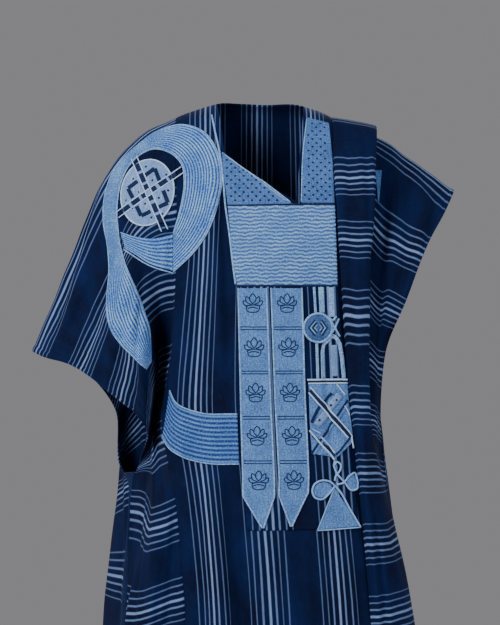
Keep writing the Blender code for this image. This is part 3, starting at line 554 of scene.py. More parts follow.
# %% Striped indigo cloth
INDIGO_DEEP = (0.0007, 0.0030, 0.0220)
INDIGO_WORN = (0.0032, 0.0105, 0.0620)
STRIPE_SLATE = (0.095, 0.165, 0.370)
STRIPE_BRIGHT = (0.215, 0.320, 0.600)
REPEAT = 0.145            # the usual distance from one group of stripes to the next
GROUP_SHARE = 0.55        # share of a repeat that the seven lines take up
GROUP_MARGIN = 0.03       # where the first line stands in a repeat
WEAVE_STEP = 0.0017       # one over-and-under of the weave
SLUB_COLOUR = (0.012, 0.030, 0.120)
# place in the group, half width as a share of the repeat, brightness
STRIPE_LINES = ((0.00, 0.0062, 0.40), (0.17, 0.0072, 0.48), (0.34, 0.0105, 0.60), (0.51, 0.0150, 0.95),
                (0.67, 0.0110, 0.62), (0.84, 0.0075, 0.50), (1.00, 0.0062, 0.40))


def striped_cloth(name, lines):
    cloth = Finish(name, 0.82, 0.03, (0.45, 0.55, 0.85))
    group, along = cloth.uv("stripes")
    across, down = cloth.uv("cloth")
    bend = cloth.times(cloth.maths("SUBTRACT", cloth.noise(across, down, 40, 40), 0.5), 0.006)
    place = cloth.maths("FRACT", cloth.plus(cloth.plus(group, bend), GROUP_MARGIN))
    stops = []
    for middle, half_width, level in lines:
        middle = GROUP_MARGIN + middle * (GROUP_SHARE - GROUP_MARGIN)
        stops += [(middle - half_width - 0.004, 0), (middle - half_width + 0.003, level),
                  (middle + half_width - 0.003, level), (middle + half_width + 0.004, 0)]
    line = cloth.ramp(place, stops)
    beside = cloth.times(group, REPEAT)
    slubs = cloth.noise(beside, along, 1400, 60, 3)
    patches = cloth.noise(across, down, 11, 8, 3)
    ground = cloth.mix(cloth.stretch(patches, 0.35, 0.68), INDIGO_DEEP, INDIGO_WORN)
    ground = cloth.mix(cloth.stretch(slubs, 0.48, 0.75, 0, 0.35), ground, SLUB_COLOUR)
    yarn = cloth.mix(line, STRIPE_SLATE, STRIPE_BRIGHT)
    shown = cloth.times(cloth.maths("POWER", line, 0.45), cloth.stretch(slubs, 0.25, 0.55, 0.62, 1.0))
    cloth.colour(cloth.mix(shown, ground, yarn))
    cloth.bump(cloth.plus(cloth.weave(across, down, WEAVE_STEP), cloth.times(slubs, 2.5)), 0.35, 0.00035)
    return cloth.material


STRIPED = striped_cloth("striped_indigo", STRIPE_LINES)
print("stripes repeat every", REPEAT, "m, with", len(STRIPE_LINES), "lines")

# %% [markdown]
# ### Embroidery in ribs, plain light blue cotton and thread
# Ribbed embroidery is cord laid side by side and sewn down. Its ribs are real shape, and the finish
# also paints shade into the grooves, painted light onto the crowns and slanted lines of painted shade
# for the twist of the thread. The map "thread" counts ribs across and metres along. Pale thread
# edges the figures; navy thread draws on light cloth.

# %% Embroidery, cotton and thread
BLUE_LIGHT = (0.350, 0.640, 1.000)
BLUE_MIDDLE = (0.150, 0.345, 0.790)
# painted shade: the colour of the grooves between ribs, where shade falls
GROOVE_PAINTED_SHADE = (0.014, 0.065, 0.340)
# painted light and shade across a rib, from one groove across its crown to the next
RIB_SHADES = ((0.0, 0.0), (0.18, 0.08), (0.38, 0.85), (0.5, 1.0), (0.62, 0.85), (0.82, 0.08), (1.0, 0.0))


def scaled(colour, factor):
    """A lighter or darker colour, kept below white."""
    return tuple(min(1, factor * part) for part in colour)


def ribbed_embroidery(name, light, middle, groove):
    cloth = Finish(name, 0.72, 0.12, (0.70, 0.80, 1.0))
    ribs, along = cloth.uv("thread")
    across, down = cloth.uv("cloth")
    in_rib = cloth.maths("FRACT", ribs)
    # painted light on the crown of each rib and painted shade in its grooves; groove is the painted shade
    # colour
    crown = cloth.ramp(in_rib, RIB_SHADES)
    twist = cloth.wave(cloth.plus(along, cloth.times(ribs, 0.0018)), 0.0036)
    speckle = cloth.noise(across, down, 340, 340, 3)
    patches = cloth.noise(across, down, 26, 26, 2)
    body = cloth.mix(crown, groove, cloth.mix(cloth.stretch(patches, 0.35, 0.65), middle, light))
    slant = cloth.wave(cloth.plus(along, cloth.times(ribs, 0.0031)), 0.0062)
    # slanted lines of painted shade for the twist of the thread
    body = cloth.mix(cloth.stretch(slant, 0.2, 1.0, 0, 0.22), body, groove)
    body = cloth.mix(cloth.stretch(speckle, 0.52, 0.66, 0, 0.30), body, scaled(light, 1.5))
    body = cloth.mix(cloth.stretch(speckle, 0.48, 0.34, 0, 0.22), body, groove)
    cloth.colour(body)
    cloth.bump(cloth.plus(twist, cloth.times(speckle, 3.0)), 0.45, 0.0004)
    return cloth.material


def cotton(name, light, dark, thread_scale=0.0016, speck=0.5):
    cloth = Finish(name, 0.80, 0.10, (0.75, 0.82, 1.0))
    across, down = cloth.uv("cloth")
    speckle = cloth.noise(across, down, 330, 330, 4)
    streaks = cloth.noise(across, down, 420, 60, 2)
    patches = cloth.noise(across, down, 30, 24, 2)
    body = cloth.mix(cloth.stretch(patches, 0.3, 0.7, 0.25, 1.0), dark, light)
    body = cloth.mix(cloth.stretch(speckle, 0.52, 0.66, 0, speck), body, scaled(light, 1.7))
    body = cloth.mix(cloth.stretch(speckle, 0.48, 0.34, 0, speck), body, scaled(dark, 0.30))
    body = cloth.mix(cloth.stretch(streaks, 0.5, 0.3, 0, speck), body, scaled(dark, 0.45))
    cloth.colour(body)
    cloth.bump(cloth.plus(cloth.weave(across, down, thread_scale), cloth.times(speckle, 2.0)), 0.40, 0.0004)
    return cloth.material


RIBBED = ribbed_embroidery("light_blue_ribs", BLUE_LIGHT, BLUE_MIDDLE, GROOVE_PAINTED_SHADE)
# the same ribbed finish painted darker throughout: painted shade for the waist band, which lies in lower
# light
RIBBED_IN_PAINTED_SHADE = ribbed_embroidery("blue_ribs_in_painted_shade", (0.155, 0.330, 0.720), (0.085, 0.215, 0.560),
                                  (0.010, 0.040, 0.190))
YOKE_COTTON = cotton("yoke_cotton", (0.100, 0.215, 0.520), (0.050, 0.130, 0.360))
TAB_COTTON = cotton("tab_cotton", (0.140, 0.290, 0.640), (0.070, 0.170, 0.450))
CHEST_RIBS = ribbed_embroidery("ruched_cotton", (0.300, 0.520, 0.900), (0.190, 0.370, 0.740),
                               (0.050, 0.125, 0.360))
DEEP_COTTON = cotton("deep_blue_cotton", (0.080, 0.170, 0.400), (0.040, 0.095, 0.260))
PALE_COTTON = cotton("pale_grey_blue_cotton", (0.250, 0.390, 0.720), (0.140, 0.250, 0.540), 0.0016, 0.35)
PALE_THREAD = cotton("pale_thread", (0.600, 0.800, 1.000), (0.420, 0.640, 1.000), 0.0009, 0.3)
CORD_THREAD = cotton("pale_blue_cord", (0.340, 0.560, 0.960), (0.220, 0.420, 0.820), 0.0009, 0.3)
BLUE_THREAD = cotton("blue_thread", (0.330, 0.540, 0.930), (0.160, 0.330, 0.730), 0.0009)
NAVY_THREAD = cotton("navy_thread", (0.012, 0.026, 0.095), (0.006, 0.014, 0.055), 0.0009, 0.3)
print("finishes:", len(bpy.data.materials) - 1)

# %% [markdown]
# ## The four panels
# Each panel is a thin closed wall as thick as the cloth is taken to be: an outer face, an inner
# face 1.5 mm behind it, and an edge all round. Rows of quads run down the cloth. Two UV maps go with
# it. "cloth" holds the counts across and down, for the weave. "stripes" counts groups of stripes,
# so that one finish serves panels whose groups are spaced unevenly.

# %% Rows of the cloth
FRONT_ROWS = np.concatenate([np.linspace(0, 0.105, 19), np.linspace(0.105, NECK_V, 15)[1:],
                             np.linspace(NECK_V, LENGTH - 0.014, 168)[1:],
                             [LENGTH - 0.012, LENGTH - 0.003, LENGTH]])
BACK_ROWS = np.concatenate([[-LENGTH, 0.003 - LENGTH, 0.012 - LENGTH],
                            np.linspace(0.014 - LENGTH, 0, 165)])
ALL_ROWS = np.concatenate([BACK_ROWS, FRONT_ROWS[1:]])
HEM = 0.012               # depth of the turned and stitched hem
HEM_STANDS = 0.0011       # how far the hem's double cloth stands out
SEAM_BLEND = 0.03         # how far from a seam the two sides' directions are blended
SHOULDER_EASE = 0.04      # creases grow from nothing over this distance from the shoulder fold
EDGE = 1e-6               # keeps a place on its own side of a seam
print("rows in front and behind:", len(FRONT_ROWS), len(BACK_ROWS))


def facing(across, down):
    """The direction in which the cloth faces, from how it runs to either side and down."""
    step = 0.002
    side = np.where(np.abs(across) > HALF_PANEL, np.sign(across), 0)

    def slope(shift_across, shift_down):
        low, high = across - shift_across, across + shift_across
        bounds_low = np.where(side > 0, HALF_PANEL + EDGE, np.where(side < 0, -CUFF, -HALF_PANEL))
        bounds_high = np.where(side > 0, CUFF, np.where(side < 0, -HALF_PANEL - EDGE, HALF_PANEL))
        low, high = np.clip(low, bounds_low, bounds_high), np.clip(high, bounds_low, bounds_high)
        return (hang(high, np.clip(down + shift_down, -LENGTH, LENGTH))
                - hang(low, np.clip(down - shift_down, -LENGTH, LENGTH)))

    return unit(np.cross(slope(0, step), slope(step, 0)))


def cloth_direction(across, down):
    """Directions of a grid of cloth points, blended near the seams."""
    own = facing(across, down)
    for seam in (-HALF_PANEL, HALF_PANEL):
        near = np.abs(across - seam) < SEAM_BLEND
        if near.any():
            nudge = 1e-5
            inner = facing(np.full(near.sum(), seam - np.sign(seam) * nudge), down[near])
            outer = facing(np.full(near.sum(), seam + np.sign(seam) * nudge), down[near])
            share = (1 - np.abs(across[near] - seam) / SEAM_BLEND)[:, None]
            own[near] = unit(own[near] * (1 - share) + unit(inner + outer) * share)
    return own


def cloth_faces(across, down, hem_height):
    """Outer and inner face of a grid of cloth points."""
    points = hang(across, down)
    direction = cloth_direction(across, down)
    flat_points = points.reshape(-1, 3)
    front = (down.ravel() > 0)
    height = np.where(front, crease_height(flat_points, FRONT_CREASES), 0)
    height += np.where(~front, crease_height(flat_points, BACK_CREASES), 0)
    height *= np.clip(np.abs(down.ravel()) / SHOULDER_EASE, 0, 1)
    height += slow_waves(across.ravel(), down.ravel())
    height = height.reshape(down.shape) + hem_height
    return points + direction * height[..., None], points + direction * (height - CLOTH)[..., None]


def wall_quads(count, quads):
    """Both faces of a sheet and the edge that joins them, from the quads of one face."""
    quads = np.asarray(quads)
    walls = quads.tolist() + (quads[:, ::-1] + count).tolist()
    starts = quads.ravel()
    ends = np.roll(quads, -1, axis=1).ravel()
    there, back = starts * (count + 1) + ends, ends * (count + 1) + starts
    border = ~np.isin(there, back)
    walls += [(b, a, a + count, b + count) for a, b in zip(starts[border].tolist(), ends[border].tolist())
              if a != b]
    return walls


def grid_quads(ids):
    """Quads of a grid of vertex numbers, rows down and columns towards +X."""
    quads = np.stack([ids[:-1, :-1], ids[1:, :-1], ids[1:, 1:], ids[:-1, 1:]], axis=-1)
    return quads.reshape(-1, 4)


def sheet_quads(grid):
    """Quads of a whole grid whose points are numbered row by row."""
    rows, columns = grid.shape[:2]
    return grid_quads(np.arange(rows * columns).reshape(rows, columns))


def make_object(name, points, faces, uv_maps, finish):
    """A smooth-shaded mesh object; uv_maps gives one (u, v) per point for each named map."""
    mesh = bpy.data.meshes.new(name)
    mesh.from_pydata(np.asarray(points).tolist(), [], faces)
    corners = np.empty(len(mesh.loops), int)
    mesh.loops.foreach_get("vertex_index", corners)
    for map_name, places in uv_maps.items():
        layer = mesh.uv_layers.new(name=map_name)
        layer.data.foreach_set("uv", np.asarray(places, dtype=np.float32)[corners].ravel())
    mesh.polygons.foreach_set("use_smooth", [True] * len(mesh.polygons))
    mesh.materials.append(finish)
    mesh.validate()
    thing = bpy.data.objects.new(name, mesh)
    bpy.context.scene.collection.objects.link(thing)
    return thing


def make_wall(name, outer, inner, quads, uv_maps, finish):
    """A closed sheet between two faces with the same quads."""
    outer, inner = outer.reshape(-1, 3), inner.reshape(-1, 3)
    maps = {key: np.concatenate([np.asarray(v).reshape(-1, 2)] * 2) for key, v in uv_maps.items()}
    return make_object(name, np.concatenate([outer, inner]), wall_quads(len(outer), quads), maps, finish)


def declare(piece, slot, *nodes):
    """Tells the frame what a piece rides on and which solids it stands for; slot is not used."""
    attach(piece, "root")
    if nodes:
        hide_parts(*nodes)


# %% Where the groups of stripes start
def stripe_places(place, groups):
    """Counts groups of stripes; groups gives the counts where each starts and ends."""
    knots, counts = [], []
    for number, (start, end) in enumerate(groups):
        knots += [start, end]
        counts += [number, number + GROUP_SHARE - GROUP_MARGIN]
    return np.interp(place, [knots[0] - 0.06] + knots + [knots[-1] + 0.05],
                     [counts[0] - 0.42] + counts + [counts[-1] + 0.42])


RIGHT_GROUPS = [(-0.015 + 0.150 * k, -0.015 + 0.150 * k + 0.080) for k in range(-9, 9)]
LEFT_GROUPS = [(-0.035 + 0.137 * k, -0.035 + 0.137 * k + 0.077) for k in range(-10, 10)]
MIDDLE_GROUPS = [(-0.158, -0.090), (-0.045, 0.035), (0.100, 0.166)]
BACK_GROUPS = [(-0.150, -0.078), (-0.040, 0.036), (0.082, 0.156)]
print("groups of stripes on the side panels:", len(RIGHT_GROUPS), len(LEFT_GROUPS))


def cloth_maps(across, down, groups, stripes_run_down):
    place, along = (across, down) if stripes_run_down else (down, across)
    return {"cloth": np.stack([across.ravel(), down.ravel()], axis=1),
            "stripes": np.stack([stripe_places(place, groups).ravel(), along.ravel()], axis=1)}


def hem_at(distance):
    """Height of a turned hem at a distance from the edge: double cloth, then a stitched groove."""
    rises = np.clip(distance / 0.002, 0, 1) * np.clip((HEM - distance) / 0.003, 0, 1)
    groove = np.exp(-((distance - HEM - 0.001) / 0.0016) ** 2)
    return HEM_STANDS * rises - 0.0008 * groove


def seam_dip(across):
    """The stitched seams beside the middle panels sink into the cloth."""
    return -0.0009 * np.exp(-((np.abs(across) - HALF_PANEL) / 0.0025) ** 2)


def make_panel(name, across, down, hem, quads, maps, node):
    """One large panel of striped cloth; returns the object and its outer face."""
    outer, inner = cloth_faces(across, down, hem + seam_dip(across))
    panel = make_wall(name, outer, inner, quads, maps, STRIPED)
    declare(panel, "indigo_strip_cloth", node)
    print(name, across.shape, "points")
    return panel, outer


# %% The two side panels
def side_columns(knots):
    """Columns across a side panel, closer together at its folds and its hem."""
    inner = np.interp(np.linspace(0, 1, 84), np.linspace(0, 1, len(knots)), knots)
    even = np.linspace(HALF_PANEL, CUFF - 0.016, 84)
    at_hem = CUFF - np.array([0.014, 0.0125, 0.011, 0.009, 0.004, 0.0])
    return np.concatenate([0.45 * inner + 0.55 * even, at_hem])


def make_side_panel(name, side, knots, groups, node):
    columns = np.unique(np.clip(side_columns(knots), HALF_PANEL, CUFF))
    across, down = np.meshgrid(side * columns, ALL_ROWS)
    if side < 0:
        across, down = across[:, ::-1], down[:, ::-1]
    hem = hem_at(CUFF - np.abs(across)) + hem_at(LENGTH - np.abs(down))
    return make_panel(name, across, down, hem, sheet_quads(across),
                      cloth_maps(across, down, groups, False), node)


right_panel, right_outer = make_side_panel(
    "right_side_panel", -1, RIGHT_ACROSS, RIGHT_GROUPS, "sleeve_right")
left_panel, left_outer = make_side_panel(
    "left_side_panel", 1, LEFT_ACROSS, LEFT_GROUPS, "sleeve_left")

# %% The front panel, with its slanted neck opening
NECKLINE_ROWS = [row[0] for row in NECKLINE]
RIGHT_COUNT, LEFT_COUNT = 54, 22    # columns on each side of the neck opening
right_edge = np.interp(FRONT_ROWS, NECKLINE_ROWS, [row[1] for row in NECKLINE])
left_edge = np.interp(FRONT_ROWS, NECKLINE_ROWS, [row[2] for row in NECKLINE])
even_right = np.linspace(0, 1, RIGHT_COUNT + 1)
even_left = np.linspace(0, 1, LEFT_COUNT + 1)
front_across = np.concatenate([
    -HALF_PANEL + (right_edge[:, None] + HALF_PANEL) * even_right,
    left_edge[:, None] + (HALF_PANEL - left_edge[:, None]) * even_left], axis=1)
front_down = np.repeat(FRONT_ROWS[:, None], front_across.shape[1], axis=1)
front_ids = np.arange(front_across.size).reshape(front_across.shape)
below_neck = FRONT_ROWS >= NECK_V    # here the two sides share their middle points
front_ids[below_neck, RIGHT_COUNT + 1] = front_ids[below_neck, RIGHT_COUNT]
front_quads = np.concatenate([grid_quads(front_ids[:, :RIGHT_COUNT + 1]),
                              grid_quads(front_ids[:, RIGHT_COUNT + 1:])])
front_panel, front_outer = make_panel(
    "front_middle_panel", front_across, front_down, hem_at(LENGTH - front_down), front_quads,
    cloth_maps(front_across, front_down, MIDDLE_GROUPS, True), "front_panel")

# %% The back panel, scooped at the nape
back_columns = np.linspace(-HALF_PANEL, HALF_PANEL, 71)
neck_middle = (NECKLINE[0][1] + NECKLINE[0][2]) / 2
neck_half = (NECKLINE[0][2] - NECKLINE[0][1]) / 2
top = -NECK_SCOOP * np.clip(1 - ((back_columns - neck_middle) / neck_half) ** 2, 0, 1)
back_down = (1 + BACK_ROWS / LENGTH)[:, None] * (top + LENGTH)[None, :] - LENGTH
back_across = np.repeat(back_columns[None, :], len(BACK_ROWS), axis=0)
back_panel, back_outer = make_panel(
    "back_middle_panel", back_across, back_down, hem_at(LENGTH + back_down), sheet_quads(back_down),
    cloth_maps(back_across, back_down, BACK_GROUPS, True), "back_panel")

# %% [markdown]
# ## Laying pieces on the cloth
# Everything sewn on is drawn as it is seen from the front, then pressed onto the creased panels, as
# an embroiderer works on a robe spread over a table. A ray from the front finds the cloth under each
# point, and the piece stands a set height off it. Sheets come from grids; cords are flattened tubes.

# %% The cloth that pieces lie on
def skin_part(outer, quads, start):
    """The points of an outer face, and those of its quads that face the front."""
    points = outer.reshape(-1, 3)
    sides = points[quads]
    towards = np.cross(sides[:, 1] - sides[:, 0], sides[:, 2] - sides[:, 0])
    return points, (quads[unit(towards)[:, 1] < -0.06] + start).tolist()


skin_points, skin_faces = [], []
for outer, quads in ((right_outer, sheet_quads(right_outer)), (front_outer, front_quads),
                     (left_outer, sheet_quads(left_outer))):
    part_points, part_faces = skin_part(outer, quads, sum(len(p) for p in skin_points))
    skin_points.append(part_points)
    skin_faces += part_faces
skin = BVHTree.FromPolygons(np.concatenate(skin_points).tolist(), skin_faces)
print("faces to lay pieces on:", len(skin_faces))

BEFORE_ROBE = -0.6        # rays start this far in front of the shoulder fold
USUAL_FRONT = -0.11       # where the front usually is, for a place beside the cloth
FORWARD = Vector((0, 1, 0))


def drop(places):
    """Places (x, z) seen from the front, moved back onto the cloth."""
    flat = np.asarray(places, float).reshape(-1, 2)
    landed = np.empty((len(flat), 3))
    for i, (x, z) in enumerate(flat.tolist()):
        hit = skin.ray_cast(Vector((x, BEFORE_ROBE, z)), FORWARD)[0]
        if hit is None:
            hit = skin.find_nearest(Vector((x, USUAL_FRONT, z)))[0]
        landed[i] = hit
    return landed.reshape(np.asarray(places).shape[:-1] + (3,))


def smooth(values, rounds):
    """Evens out a grid a little, so that pieces bridge the finest dips under them."""
    for _ in range(rounds):
        padded = np.pad(values, ((1, 1), (1, 1), (0, 0)), mode="edge")
        near = padded[:-2, 1:-1] + padded[2:, 1:-1] + padded[1:-1, :-2] + padded[1:-1, 2:]
        values = 0.5 * values + 0.125 * near
    return values


def grid_directions(points):
    across = np.gradient(points, axis=1)
    down = np.gradient(points, axis=0)
    directions = np.cross(down, across)
    short = np.linalg.norm(directions, axis=-1) < 1e-12
    directions[short] = (0, -1, 0)
    return unit(smooth(unit(directions), 2))


# %% Shapes of sheets, seen from the front
def distance_along(line):
    """How far along a line each of its points is."""
    return np.concatenate([[0], np.cumsum(np.linalg.norm(np.diff(line, axis=0), axis=1))])


def fill(edges, columns):
    """A grid of even columns from the first edge to the second."""
    u = np.linspace(0, 1, columns)[None, :, None]
    return edges[0][:, None] * (1 - u) + edges[1][:, None] * u


def between(left, right, rows, columns):
    """A grid between two edges that both run down; each edge is places (x, z) from the top."""
    share = np.linspace(0, 1, rows)[:, None]
    edges = []
    for edge in (left, right):
        edge = np.array(edge, float)
        reach = np.concatenate([[0], np.cumsum(np.abs(np.diff(edge[:, 1])) + 1e-6)])
        place = share[:, 0] * reach[-1]
        edges.append(np.stack([np.interp(place, reach, edge[:, k]) for k in (0, 1)], axis=1))
    return fill(edges, columns)


def ribbon(outer, inner, rows, columns):
    """A grid between two smooth curves that run side by side."""
    share = np.linspace(0, 1, rows)
    edges = []
    for edge in (outer, inner):
        edge = np.array(edge, float)
        reach = distance_along(edge)
        edges.append(curve_weights(reach / reach[-1], share) @ edge)
    return fill(edges, columns)


def disc(middle, half_width, half_height, tilt, count):
    """A round or oval grid, squares bent out to a rim; tilt is in degrees."""
    v, u = np.meshgrid(np.linspace(1, -1, count), np.linspace(-1, 1, count), indexing="ij")
    x = half_width * u * np.sqrt(1 - v**2 / 2)
    z = half_height * v * np.sqrt(1 - u**2 / 2)
    turn = math.radians(tilt)
    return np.stack([middle[0] + x * math.cos(turn) - z * math.sin(turn),
                     middle[1] + x * math.sin(turn) + z * math.cos(turn)], axis=-1)


# %% Sewing a sheet on
SEWN = 0.0010             # thickness of what is sewn on
LOW, HIGH = 0.0007, 0.0026    # clearance of the first and of the second layer


def edge_ease(shape, count=3):
    """Zero at the edges of a grid and one inside, so that edges lie down."""
    rows = np.minimum(np.arange(shape[0]), np.arange(shape[0])[::-1])
    columns = np.minimum(np.arange(shape[1]), np.arange(shape[1])[::-1])
    return np.clip(np.minimum(rows[:, None], columns[None]) / count, 0, 1)


def sew(name, grid, finish, slot, node, flat, height=0.0, base=LOW, thread=None, stripes=None):
    points = smooth(drop(grid), 2)
    directions = grid_directions(points)
    if directions[..., 1].mean() > 0:
        grid, points, directions = grid[:, ::-1], points[:, ::-1], -directions[:, ::-1]
        height = height[:, ::-1] if np.ndim(height) else height
        thread = None if thread is None else thread[:, ::-1]
    maps = {"cloth": grid.reshape(-1, 2)}
    maps["thread"] = (grid if thread is None else thread).reshape(-1, 2)
    if stripes is not None:
        maps["stripes"] = stripes.reshape(-1, 2)
    stands = (base + SEWN + height * np.ones(grid.shape[:2]))[..., None]
    piece = make_wall(name, points + directions * stands, points + directions * base,
                      sheet_quads(grid), maps, finish)
    declare(piece, slot, *([node] if node else []))
    print(name, grid.shape[:2], "points, flat", flat, "m")


def ribs(shape, count, along_length, depth=0.0013, by_rows=False, wave=None):
    """Rib height and thread coordinates for a grid whose ribs lie side by side."""
    row = np.linspace(0, 1, shape[0])[:, None] * np.ones(shape)
    column = np.linspace(0, 1, shape[1])[None] * np.ones(shape)
    number = (row if by_rows else column) * count
    if wave is not None:
        number = np.clip(number + wave(column, row), 0, count)
    along = (column if by_rows else row) * along_length
    rise = depth * np.abs(np.sin(np.pi * number)) ** 0.75
    return rise, np.stack([number, along], axis=-1)


# %% Cords
TUBE_SIDES = 8
KNOT_HEIGHT = 0.0009


def tube_faces(count):
    """Quads round a tube of `count` rings, and a cap at each end."""
    ids = np.arange(count * TUBE_SIDES).reshape(count, TUBE_SIDES)
    following = np.roll(ids, -1, axis=1)
    quads = np.stack([ids[:-1], ids[1:], following[1:], following[:-1]], axis=-1)
    return quads.reshape(-1, 4).tolist() + [ids[0].tolist(), ids[-1][::-1].tolist()]


def cord_path(line, spacing=0.003, straight=False, closed=False):
    """Evenly spaced places along a line, through smooth curves unless it is straight."""
    line = np.array(line, float)
    if closed:
        line = np.concatenate([line, line[:1]])
    reach = distance_along(line)
    count = max(3, int(reach[-1] / spacing) + 1)
    places = np.linspace(0, reach[-1], count)
    if straight or len(line) < 3:
        return np.stack([np.interp(places, reach, line[:, k]) for k in (0, 1)], axis=1)
    return curve_weights(reach, places) @ line


def cord(line, half_width, lift, half_height=None, straight=False, closed=False, spacing=0.003):
    """One flattened cord laid along a line: its points and faces."""
    path = cord_path(line, spacing, straight, closed)
    points = drop(path)
    for _ in range(4):
        points[1:-1, 1] = 0.5 * points[1:-1, 1] + 0.25 * (points[:-2, 1] + points[2:, 1])
    half_height = half_height or 0.7 * half_width
    runs = unit(np.gradient(points, axis=0))
    turned = unit(np.gradient(path, axis=0))
    turned = np.stack([-turned[:, 1], turned[:, 0]], axis=1) * 0.005
    out = unit(np.cross(runs, drop(path + turned) - drop(path - turned)))
    out[out[:, 1] > 0] *= -1
    for _ in range(6):
        out[1:-1] = 0.5 * out[1:-1] + 0.25 * (out[:-2] + out[2:])
    out = unit(unit(out) + (0, -0.8, 0))
    sides = unit(np.cross(out, runs))
    out = unit(np.cross(runs, sides))
    angles = 2 * np.pi * np.arange(TUBE_SIDES) / TUBE_SIDES
    middle = points + out * lift
    around = (middle[:, None] + sides[:, None] * (half_width * np.cos(angles))[None, :, None]
              + out[:, None] * (half_height * np.sin(angles))[None, :, None])
    count = len(path)
    along = np.linspace(0, count * spacing, count)[:, None] * np.ones((1, TUBE_SIDES))
    round_it = np.ones((count, 1)) * (half_width * 3 * np.arange(TUBE_SIDES) / TUBE_SIDES)[None]
    uv = np.stack([round_it, along], axis=-1)
    return around.reshape(-1, 3), tube_faces(count), uv.reshape(-1, 2)


def strip(line, half_width, base, rise=0.0008, straight=True):
    """A narrow flat ribbon laid along a line: its points and faces."""
    path = cord_path(line, 0.003, straight)
    runs = unit(np.gradient(path, axis=0))
    sides = np.stack([-runs[:, 1], runs[:, 0]], axis=1)
    offsets = np.linspace(1, -1, 5) * half_width
    grid = path[:, None] + sides[:, None] * offsets[None, :, None]
    points = smooth(drop(grid), 1)
    directions = grid_directions(points)
    if directions[..., 1].mean() > 0:
        grid, points, directions = grid[:, ::-1], points[:, ::-1], -directions[:, ::-1]
    faces = wall_quads(grid.shape[0] * grid.shape[1], sheet_quads(grid))
    both = [(points + directions * height).reshape(-1, 3) for height in (base + rise, base)]
    return np.concatenate(both), faces, np.concatenate([grid.reshape(-1, 2)] * 2)


def make_cords(name, cords, finish, slot, nodes=()):
    """Joins laid cords into one piece of thread work."""
    points, faces, uv, start = [], [], [], 0
    for cord_points, cord_faces, cord_uv in cords:
        points.append(cord_points)
        uv.append(cord_uv)
        faces += [[v + start for v in face] for face in cord_faces]
        start += len(cord_points)
    uv = np.concatenate(uv)
    piece = make_object(name, np.concatenate(points), faces, {"cloth": uv, "thread": uv}, finish)
    declare(piece, slot, *nodes)
    print(name, "made of", len(cords), "threads")


def knot(middle, half_size, lift):
    """A small raised stitch: a low dome."""
    ring, rows = TUBE_SIDES, 3
    centre = drop(np.array([[middle]]))[0, 0]
    points, faces = [], []
    for row in range(rows):
        lean = row / rows * np.pi / 2
        for k in range(ring):
            turn = 2 * np.pi * k / ring
            points.append((centre[0] + half_size * math.cos(lean) * math.cos(turn),
                           centre[1] - lift - KNOT_HEIGHT * math.sin(lean),
                           centre[2] + half_size * math.cos(lean) * math.sin(turn)))
    for row in range(rows - 1):
        for k in range(ring):
            a, b = row * ring + k, row * ring + (k + 1) % ring
            faces.append((a, b, b + ring, a + ring))
    faces += [list(range(ring))[::-1], list(range((rows - 1) * ring, rows * ring))]
    points = np.array(points)
    return points, [list(f) for f in faces], points[:, [0, 2]]

# %% [markdown]
# ## The swirl
# One broad ribbon of ribbed cord starts at a mitred corner on the chest, goes over the shoulder, and
# runs to a point on the sleeve. A grid follows it between its two edges, and the ribs are real
# ridges, so that light catches each one as the ribbon turns.

# %% The long ribbon of the swirl
# Each row is one line across the ribbon: outer edge, inner edge.
SWIRL_RING = (
    ((-0.170, -0.343), (-0.171, -0.268)),
    ((-0.130, -0.304), (-0.160, -0.231)),
    ((-0.101, -0.261), (-0.153, -0.198)),
    ((-0.084, -0.208), (-0.150, -0.160)),
    ((-0.076, -0.156), (-0.155, -0.130)),
    ((-0.084, -0.106), (-0.171, -0.110)),
    ((-0.112, -0.063), (-0.189, -0.100)),
    ((-0.159, -0.046), (-0.212, -0.096)),
    ((-0.208, -0.060), (-0.240, -0.107)),
    ((-0.252, -0.090), (-0.264, -0.131)),
    ((-0.296, -0.137), (-0.278, -0.163)),
    ((-0.313, -0.188), (-0.285, -0.204)),
    ((-0.314, -0.2425), (-0.285, -0.2425)),
)
SWIRL_TAIL = (
    ((-0.3145, -0.2370), (-0.2845, -0.2370)),
    ((-0.304, -0.292), (-0.278, -0.285)),
    ((-0.301, -0.345), (-0.262, -0.335)),
    ((-0.304, -0.395), (-0.243, -0.380)),
    ((-0.299, -0.440), (-0.229, -0.420)),
    ((-0.277, -0.479), (-0.219, -0.455)),
    ((-0.250, -0.506), (-0.217, -0.480)),
    ((-0.2220, -0.5330), (-0.2158, -0.5200)),
)
RIBBON_WIDTH = 0.075
TAIL_OVER = 0.0003        # the tail lies this much higher, over the end of the ring
ring_outside, ring_inside = zip(*SWIRL_RING)
tail_outside, tail_inside = zip(*SWIRL_TAIL)


def sew_ribbon(name, node, grid, count, length, depth, base=LOW):
    """One length of the ribbon, with so many ribs side by side."""
    rise, thread = ribs(grid.shape[:2], count, length, depth)
    sew(name, grid, RIBBED, "ribbed_embroidery", node, (RIBBON_WIDTH, length), rise, base, thread)


